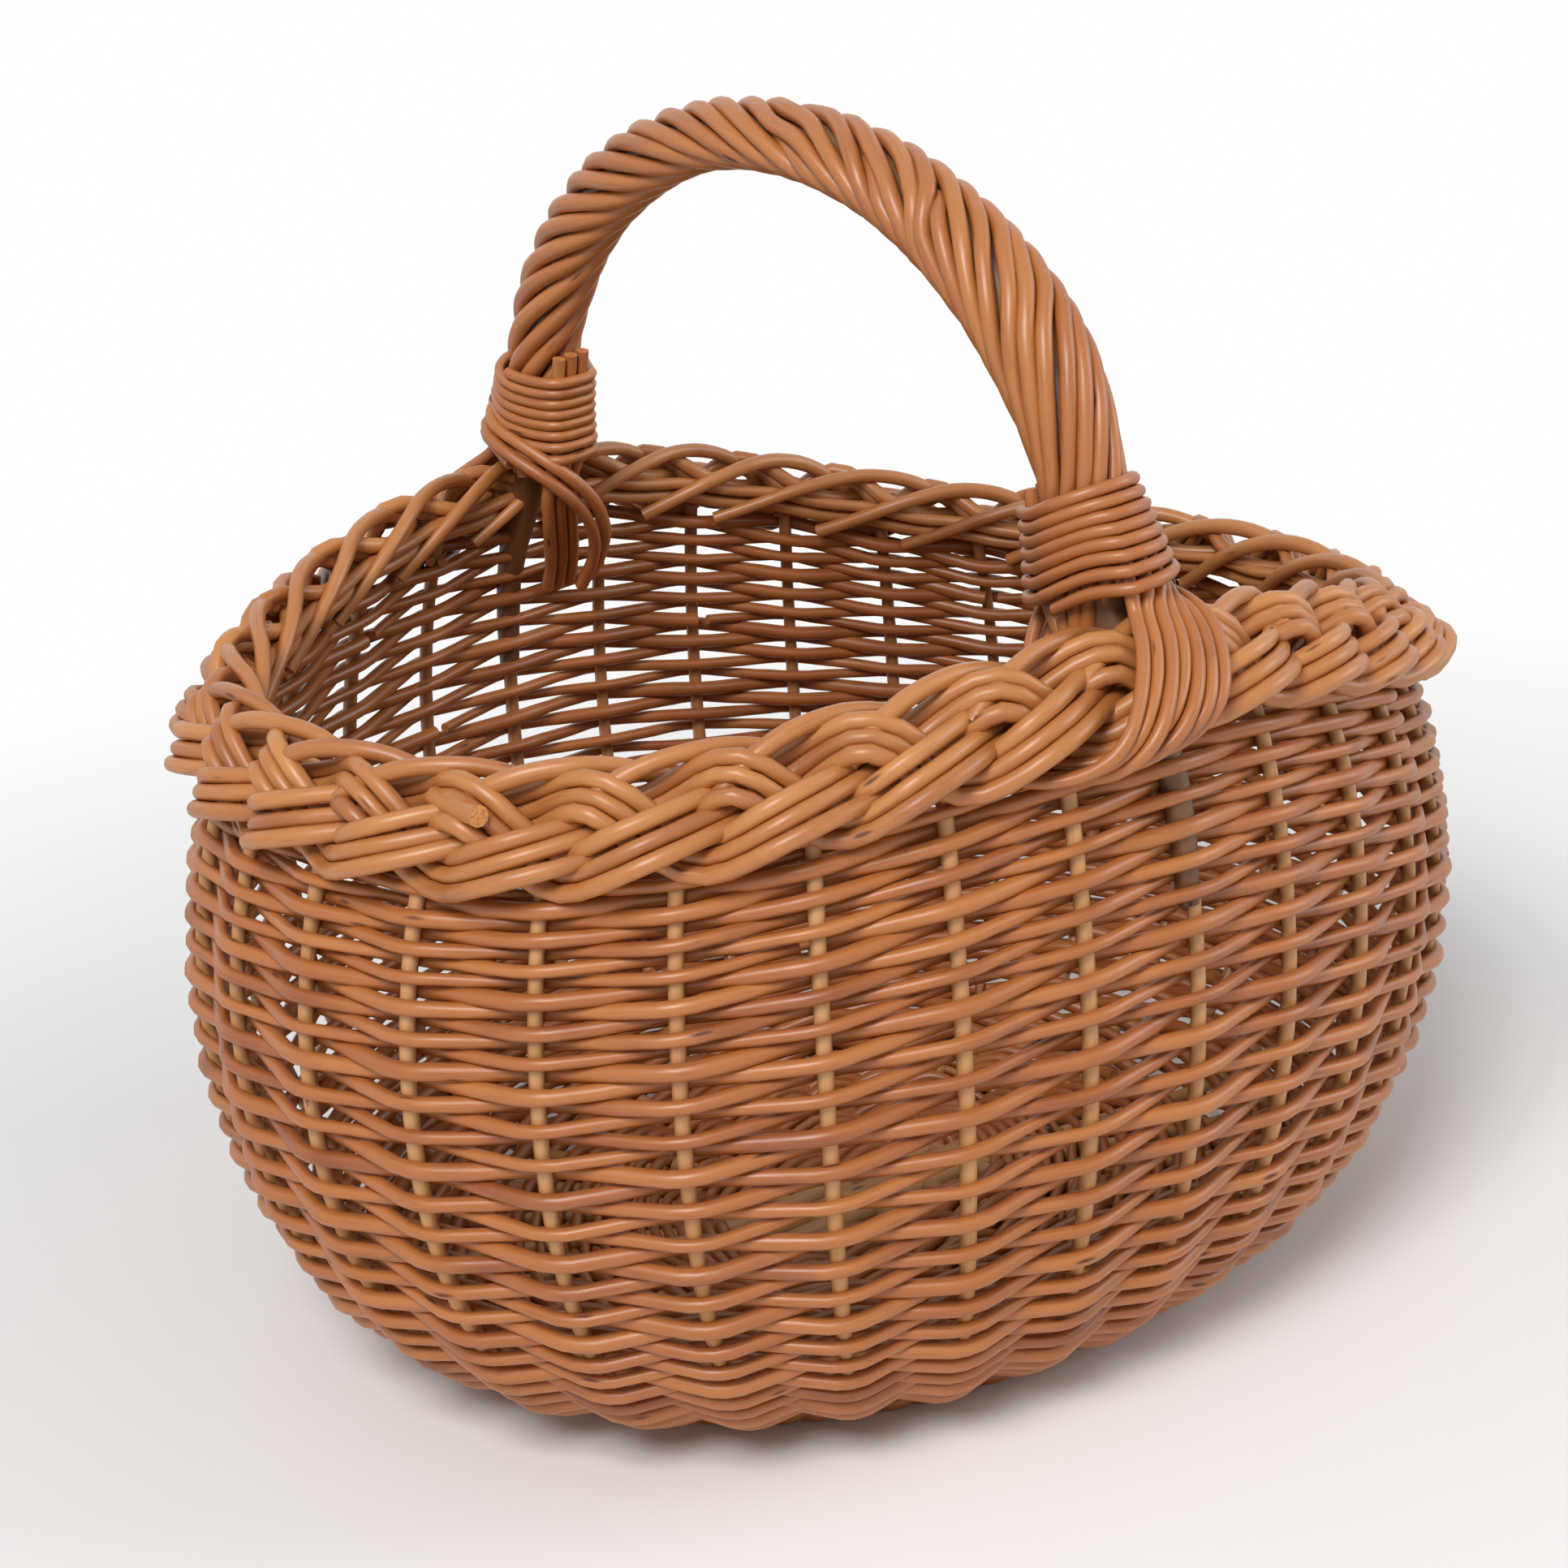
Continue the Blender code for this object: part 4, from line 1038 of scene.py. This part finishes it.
# %% [markdown]
# ## Long rods under the plait
# Between the last row of the wall and the plait, light would fall through. On the real basket the
# bent-over stakes lie there in a thick bundle. Nearly all of it is hidden, so two rods that run
# round under the plait stand for the bundle, each a little wavy and cut into stretches.

# %% Long rods under the plait
UNDER_RODS = ((-0.0050, -0.0088, 0.0021), (-0.0098, -0.0070, 0.0019))
UNDER_STRETCHES, UNDER_STEPS, UNDER_RIPPLE = 7, 6, 0.0006
for rank, (w, f, thick) in enumerate(UNDER_RODS):
    middle, across, face = rim_frame(np.linspace(0, 1, STAKES * UNDER_STEPS + 1) + 0.04 * rank)
    ripple = UNDER_RIPPLE * np.sin(math.tau * np.arange(len(middle)) / UNDER_STEPS + rank * 2.0)[:, None]
    line = middle + across * w + face * (f + ripple)
    for number, stretch in enumerate(np.array_split(np.arange(len(line)), UNDER_STRETCHES)):
        reach = np.arange(stretch[0], min(stretch[-1] + 2, len(line)))
        border_rods.append((line[reach], thick * rng.uniform(0.94, 1.06), 400 + rank * 10 + number))
print("rods under the plait:", len(UNDER_RODS) * UNDER_STRETCHES)

# %% [markdown]
# ## A cut end on the front of the plait
# On the front left the thick butt of one rod comes out between the strands and is cut off short, so that
# its round pale face is seen. It is one more line of three stops, a little thicker than the rest. All
# rods of the border then become one piece.

# %% A cut end, and the border as a piece
STUB_TURN, STUB_RADIUS = NEAR_TURN - 0.15, 0.0028
STUB_WAY = ((-0.040, -0.0085, 0.0005), (-0.030, -0.0050, 0.0050), (-0.0215, -0.0016, 0.0098))
stub = flowing([on_plait(STUB_TURN + s / RIM_GIRTH, w, f) for s, w, f in STUB_WAY], 0.003, 2)
border_rods.append((stub, STUB_RADIUS, 380))
rods_piece("border_plait_rods", border_rods, "border_willow", ["border_plait"])

# %% [markdown]
# ## The whole rope
# Each roped rod goes on below the arch as a tail. Most end there unseen under the winding, and those on
# the left of the near leg run down inside the wall. A tail starts where its rod ends and joins the
# same line, because a second rod laid against the first would show a seam.

# %% Rope rods, with their tails and the fans
CAD_ROPE_RODS = 9
TAIL_FACING = (-2.0, -0.3)
FAN_TAPER = ((0, 0.25, 0.8, 1), (1.1, 1.0, 0.95, 0.8))


def tail(side, spot, facing):
    """The end of a rope rod below the binding, from the leg's own end downward."""
    out, x = side * spot[1] - LEG_REACH, spot[0] - HANDLE_X
    stops = [by_leg(side, out, x, SPRING - 0.001), by_leg(side, out, x, SPRING - 0.012)]
    if side < 0 and TAIL_FACING[0] < facing < TAIL_FACING[1]:
        stops += [by_leg(side, 0.004, x * 1.15, SPRING - 0.028), by_leg(side, 0.010, x * 1.3, SPRING - 0.045)]
    return flowing(stops, 0.004, 3)


rope_rods = []
for index, (line, radii, around) in enumerate(rope_lines):
    facing = (around + math.pi) % math.tau - math.pi
    start = tail(-1, line[0], facing[0])[::-1]
    whole, thick = [start, line[1:]], [np.full(len(start), radii[0]), radii[1:]]
    if len(line) > ARCH_STEPS:
        end = tail(1, line[-1], facing[-1])
        whole.append(end)
        thick.append(np.full(len(end), radii[-1]))
    rope_rods.append((np.concatenate(whole), np.concatenate(thick), 80 + index))
for index, line in enumerate(fans):
    taper = np.interp(np.linspace(0, 1, len(line)), *FAN_TAPER)
    rope_rods.append((line, FAN_RADIUS * taper * rng.uniform(0.90, 1.02), 100 + index))
rods_piece("handle_rope", rope_rods, "rope_willow", [f"rope_rod_{i + 1}" for i in range(CAD_ROPE_RODS)],
           sides=12)

# %% [markdown]
# ## Bow stick
# Inside the rope the bow is hidden but for the recesses, where its dark bark shows between two rods. It
# fills the rope so that no light falls through. Below the binding its two ends bend outward, and
# are pushed down into the weave beside a stake. One line with its own thickness at each point does both.

# %% Bow stick
BOW_END = ((0.0045, 0.2285, 0.0060), (0.0150, 0.2145, 0.0054), (0.0250, 0.2020, 0.0047),
           (0.0292, 0.1880, 0.0041), (0.0315, 0.1730, 0.0037), (0.0325, 0.1560, 0.0032))
BOW_STEP, CORE_DEPTH = 3, 0.7
ends = {side: [(*by_leg(side, out, 0.0, height), thick) for out, height, thick in BOW_END] for side in LEGS}
core = rope_reach - rod_thick * CORE_DEPTH
arc = [(*spot, thick) for spot, thick in zip(rope_axis[::BOW_STEP], core[::BOW_STEP])]
whole = np.array(ends[-1][::-1] + arc + ends[1], dtype=float)
for _ in range(2):
    whole[1:-1] = whole[1:-1] * 0.5 + (whole[2:] + whole[:-2]) * 0.25
print("bow tips at height, mm:", round(whole[0, 2] * 1000, 1))
rods_piece("bow_stick", [(whole[:, :3], whole[:, 3], 7)], "bow_wood", ["handle_bow"], sides=14)

# %% [markdown]
# ## Pegs and crossing rods
# Three pegs come up from the wall to the inner side of each leg, and the winding holds them there. Two
# rods come round the leg from outside, cross the pegs and go down to the wall. All of them follow rows
# of stops beside the leg. The pegs are stiff, so they stay put while the crossing rods settle over them.

# %% Pegs and the two crossing rods
PEG_RADIUS, PEG_RANKS, CROSSING_RANKS = 0.0020, (-1, 0, 1), (0, 1)
PEG_DEPTH, PEG_SPACING = -0.0146, 0.0044
PEG_TOP, PEG_STAGGER = {-1: 0.2602, 1: 0.2688}, 0.0006
PEG_WAY = {-1: ((0.0235, -0.003, 0.184), (0.0150, -0.003, 0.196), (0.0010, -0.002, 0.212),
                (-0.0110, 0.0, 0.228)),
           1: ((0.0235, 0.0165, 0.1835), (0.0150, 0.0130, 0.1930), (0.0050, 0.0068, 0.2025),
               (-0.0050, 0.0003, 0.2135), (-0.0120, -0.0040, 0.2265))}
CROSSING_WAY = ((0.0125, -0.0125, 0.2455), (0.0060, -0.0170, 0.2425), (-0.0060, -0.0165, 0.2375),
                (-0.0170, -0.0085, 0.2290), (-0.0165, 0.0020, 0.2180), (-0.0100, 0.0100, 0.2065),
                (-0.0010, 0.0145, 0.1960), (0.0080, 0.0150, 0.1860))
CROSSING_SHIFT, CROSSING_TUCK = 0.0038, 0.0007


def peg_stops(side, rank):
    x = rank * PEG_SPACING
    top = PEG_TOP[side] + rank * PEG_STAGGER
    return ([by_leg(side, out, x + shift, height) for out, shift, height in PEG_WAY[side]]
            + [by_leg(side, PEG_DEPTH, x, height) for height in (0.238, 0.252, top)])


def crossing_stops(side, rank):
    """A rod that comes round the leg from outside, crosses its inner side and goes down to the wall."""
    shift = rank * CROSSING_SHIFT
    return [by_leg(side, out - CROSSING_TUCK * rank, (x + (shift if i > 1 else shift * 0.4)) * side,
                   height + shift * 0.9) for i, (out, x, height) in enumerate(CROSSING_WAY)]


for side, place in LEGS.items():
    pegs = [flowing(peg_stops(side, rank)) for rank in PEG_RANKS]
    crossers = [flowing(crossing_stops(side, rank)) for rank in CROSSING_RANKS]
    settled = settle(pegs + crossers, [PEG_RADIUS] * len(pegs + crossers), rounds=40,
                     pinned=[np.ones(len(p)) for p in pegs] + [np.zeros(len(c)) for c in crossers])
    rods_piece(place + "_pegs", [(line, PEG_RADIUS * rng.uniform(0.95, 1.08), 120 + side * 10 + i)
                                 for i, line in enumerate(settled)],
               "rope_willow", [f"{place}_peg_{i}" for i in (1, 2, 3)])

# %% [markdown]
# ## Bindings
# A thinner rod is wound tightly round each foot to hold everything together, and where it passes over
# the pegs it runs flat. A plain helix would float off the leg or cut into the pegs. A taut winding takes the
# shape of what it holds, so its reach in each direction is found from the rods inside it: the smallest
# convex line round all their circles. The winding also leans, and its first turn sags at one side.

# %% Bindings
BIND_RADIUS, BIND_STEPS, BIND_PITCH = 0.00172, 40, 0.00338
BIND_TURNS = {-1: 7.65, 1: 8.0}
BIND_START = {-1: 0.2350, 1: 0.2380}
BIND_TILT = {-1: (0.0046, -0.0001, 0.45), 1: (0.0034, 0.0013, 0.0)}
SAG = ((0, 1, 2, 3), (0.0030, 0.0014, 0.0004, 0.0))
KNOB_RISE, KNOB_TURN = 0.0026, 0.22
BUNDLE = (0.0, 0.0, 0.0116)
GRAZING, FAR_OFF = 0.05, 9.0
around = np.radians(np.arange(0, 360, 2.0))
ways = np.stack([np.cos(around), np.sin(around)], axis=1)


def taut(circles, rod):
    """Reach of a taut rod round these circles (out, x, radius), for each direction."""
    support = np.max([ways @ (out, x) + radius + rod for out, x, radius in circles], axis=0)
    tilt = np.cos(around[:, None] - around[None])
    return np.min(np.where(tilt > GRAZING, support[None] / np.maximum(tilt, GRAZING), FAR_OFF), axis=1)


held = [BUNDLE] + [(PEG_DEPTH, rank * PEG_SPACING, PEG_RADIUS) for rank in PEG_RANKS]
for side, place in LEGS.items():
    fan_circles = []
    for line in fans[:FAN_RODS] if side < 0 else fans[FAN_RODS:]:
        spot = line[np.argmin(np.abs(line[:, 2] - BIND_LOW))]
        fan_circles.append((abs(spot[1]) - LEG_REACH, spot[0] - HANDLE_X, FAN_RADIUS))
    facing = -math.pi / 2 + math.tau * np.arange(int(BIND_TURNS[side] * BIND_STEPS) + 1) / BIND_STEPS
    turns = (facing + math.pi / 2) / math.tau
    share = turns / BIND_TURNS[side]
    low, high = (np.interp(facing % math.tau, around, taut(circles, BIND_RADIUS), period=math.tau)
                 for circles in (held + fan_circles, held))
    reach = between(low, high, share ** 0.8)
    lean_out, lean_x, more_below = BIND_TILT[side]
    lean = (lean_out * np.cos(facing) + lean_x * np.sin(facing)) * (1 + more_below * (1 - share))
    sag = np.interp(turns, *SAG) * (0.5 - 0.5 * np.sin(facing)) ** 1.2
    height = BIND_START[side] + turns * BIND_PITCH + (lean - sag)
    if side < 0:
        height += KNOB_RISE * np.clip((turns - BIND_TURNS[side] + KNOB_TURN) / KNOB_TURN, 0, 1) ** 2
    line = [by_leg(side, r * math.cos(a), r * math.sin(a), h) for r, a, h in zip(reach, facing, height)]
    rods_piece(place + "_binding_rod", [(line, BIND_RADIUS, 150 + side)], "rope_willow", [place + "_binding"])

# %% [markdown]
# ## The foot
# The basket stands on a ring of three rods twisted round one another, laid round the turn-up of the
# stakes. On the table nobody sees it, but it carries the basket, and from below it is the first thing
# that shows. Each rod is one closed line: a point that circles while it goes round the oval.

# %% Foot ring
FOOT_SHARE, FOOT_ROD, FOOT_STRANDS, FOOT_TWISTS, FOOT_STEPS = 0.68, 0.00212, 3, 23, 14
TWIST_REACH, FOOT_LEVEL = 0.00245, 0.00462
steps = np.arange(FOOT_TWISTS * FOOT_STEPS)
turn = steps / len(steps)
flat = oval(angle_at(turn))
foot_rods = []
for strand in range(FOOT_STRANDS):
    twist = math.tau * (turn * FOOT_TWISTS + strand / FOOT_STRANDS)
    ring = flat * (RIM_HALF * FOOT_SHARE) + unit(flat) * (TWIST_REACH * np.cos(twist))[:, None]
    foot_rods.append((raised(ring, FOOT_LEVEL + TWIST_REACH * np.sin(twist)), FOOT_ROD, 30 + strand, True))
rods_piece("foot_ring", foot_rods, "weaver_willow", ["foot_wale"])

# %% [markdown]
# ## Base weave
# Between the heart and the foot the base is woven over the stakes that lie flat there, by the same rule
# as the wall. Only the surface changes: a level oval, on which the climb runs outward.

# %% Base weave
BASE_ROWS, BASE_SHEET_ROWS, BASE_STEPS = 13, 30, 6
BASE_FIRST, BASE_LAST = 0.409, 0.655


def base_place(turn, climb):
    share = between(BASE_FIRST, BASE_LAST, climb)
    return raised(oval(angle_at(turn)) * RIM_HALF * share[..., None], BASE_LEVEL)


woven("woven_base", sheet(STAKES, BASE_SHEET_ROWS, base_place), "base_weave", {
    "Points": BASE_ROWS * STAKES * BASE_STEPS + 1, "Steps": BASE_STEPS, "Stakes": float(STAKES),
    "Climb Per Turn": 1 / BASE_ROWS, "Stake Radius": STAKE_RADIUS, "Low Rod": 0.0018, "High Rod": 0.0019,
    "Wander": 0.3, "Seed": 4.0, "Sides": 8})

# %% [markdown]
# ## Heart sticks
# The heart of an oval base is three long sticks pushed through five short ones. Where they leave the
# crossing they are bent apart, so that their sixteen ends point all round like spokes. A stick is one line
# through four corners: an end, the knee where it bends, the other knee and the other end.

# %% Heart sticks
LONG_STICKS, SHORT_STICKS = 3, 5
LONG_SPACING, SHORT_SPACING, KNEE, STICK_END = 0.0090, 0.0190, 0.0065, 0.414
LONG_RADIUS, SHORT_RADIUS = 0.0040, 0.0034
POINTS_BETWEEN = ((0, 0.4, 0.8), (0.1, 0.3, 0.5, 0.7, 0.9), (0.2, 0.6, 1))
knee_x, knee_y = SHORT_STICKS // 2 * SHORT_SPACING + KNEE, LONG_STICKS // 2 * LONG_SPACING + KNEE
knees = [(knee_x, i * LONG_SPACING) for i in (0, 1)]
knees += [(i * SHORT_SPACING, knee_y) for i in (2, 1, 0, -1, -2)]
knees += [(-knee_x, i * LONG_SPACING) for i in (1, 0, -1)]
knees += [(i * SHORT_SPACING, -knee_y) for i in (-2, -1, 0, 1, 2)]
knees += [(knee_x, -LONG_SPACING)]
spokes = len(knees)
ends = oval(angle_at(np.arange(spokes) / spokes)) * (RIM_HALF * STICK_END)
pairs = [(i % spokes, (spokes // 2 - i) % spokes) for i in (-1, 0, 1)]
pairs += [(2 + i, (spokes - 2 - i) % spokes) for i in range(SHORT_STICKS)]
sticks = []
for number, (one, other) in enumerate(pairs):
    corners = [Vector((*p, BASE_LEVEL)) for p in (ends[one], knees[one], knees[other], ends[other])]
    line = [a.lerp(b, t) for a, b, shares in zip(corners, corners[1:], POINTS_BETWEEN) for t in shares]
    sticks.append((line, LONG_RADIUS if number < LONG_STICKS else SHORT_RADIUS, 400 + number))
rods_piece("heart_sticks", sticks, "stake_willow", ["base_sticks"])

# %% [markdown]
# ## Weavers round the heart
# Two thin weavers chase each other round the spokes: where one goes over, the other goes under. Sixteen
# is an even number, so one weaver alone would always meet a spoke on the same side. The sheet for them
# lies between the knees and the ends of the sticks, and each weaver gets its own side and start.

# %% Weavers round the heart
HEART_ROUNDS, HEART_SHEET_ROWS, HEART_STEPS = 7, 20, 6
HEART_FIRST, HEART_REACH = 0.03, 1.01
SPOKE_RADIUS, UNCUT = 0.0032, 400.0


def heart_place(turn, climb):
    column = turn * spokes
    first = np.floor(column).astype(int)
    past = (column - first)[..., None]
    knee, end = (places[first % spokes] * (1 - past) + places[(first + 1) % spokes] * past
                 for places in (np.array(knees), ends))
    share = (HEART_FIRST + HEART_REACH * climb)[..., None]
    return raised(knee * (1 - share) + end * share, BASE_LEVEL)


heart_points = (HEART_ROUNDS * spokes - 1) * HEART_STEPS + 1
for number in (0, 1):
    settings = {"Points": heart_points, "Steps": HEART_STEPS, "Stakes": float(spokes), "Side": float(number),
                "Climb Start": number / (2 * HEART_ROUNDS), "Stretch": UNCUT,
                "Climb Per Turn": (1 - 0.5 / HEART_ROUNDS) / HEART_ROUNDS, "Stake Radius": SPOKE_RADIUS,
                "Low Rod": 0.0018, "High Rod": 0.0019, "Wander": 0.2, "Seed": 6.0 + number, "Sides": 8}
    woven(f"heart_weaver_rod_{number + 1}", sheet(spokes, HEART_SHEET_ROWS, heart_place),
          f"heart_weaver_{number + 1}", settings)
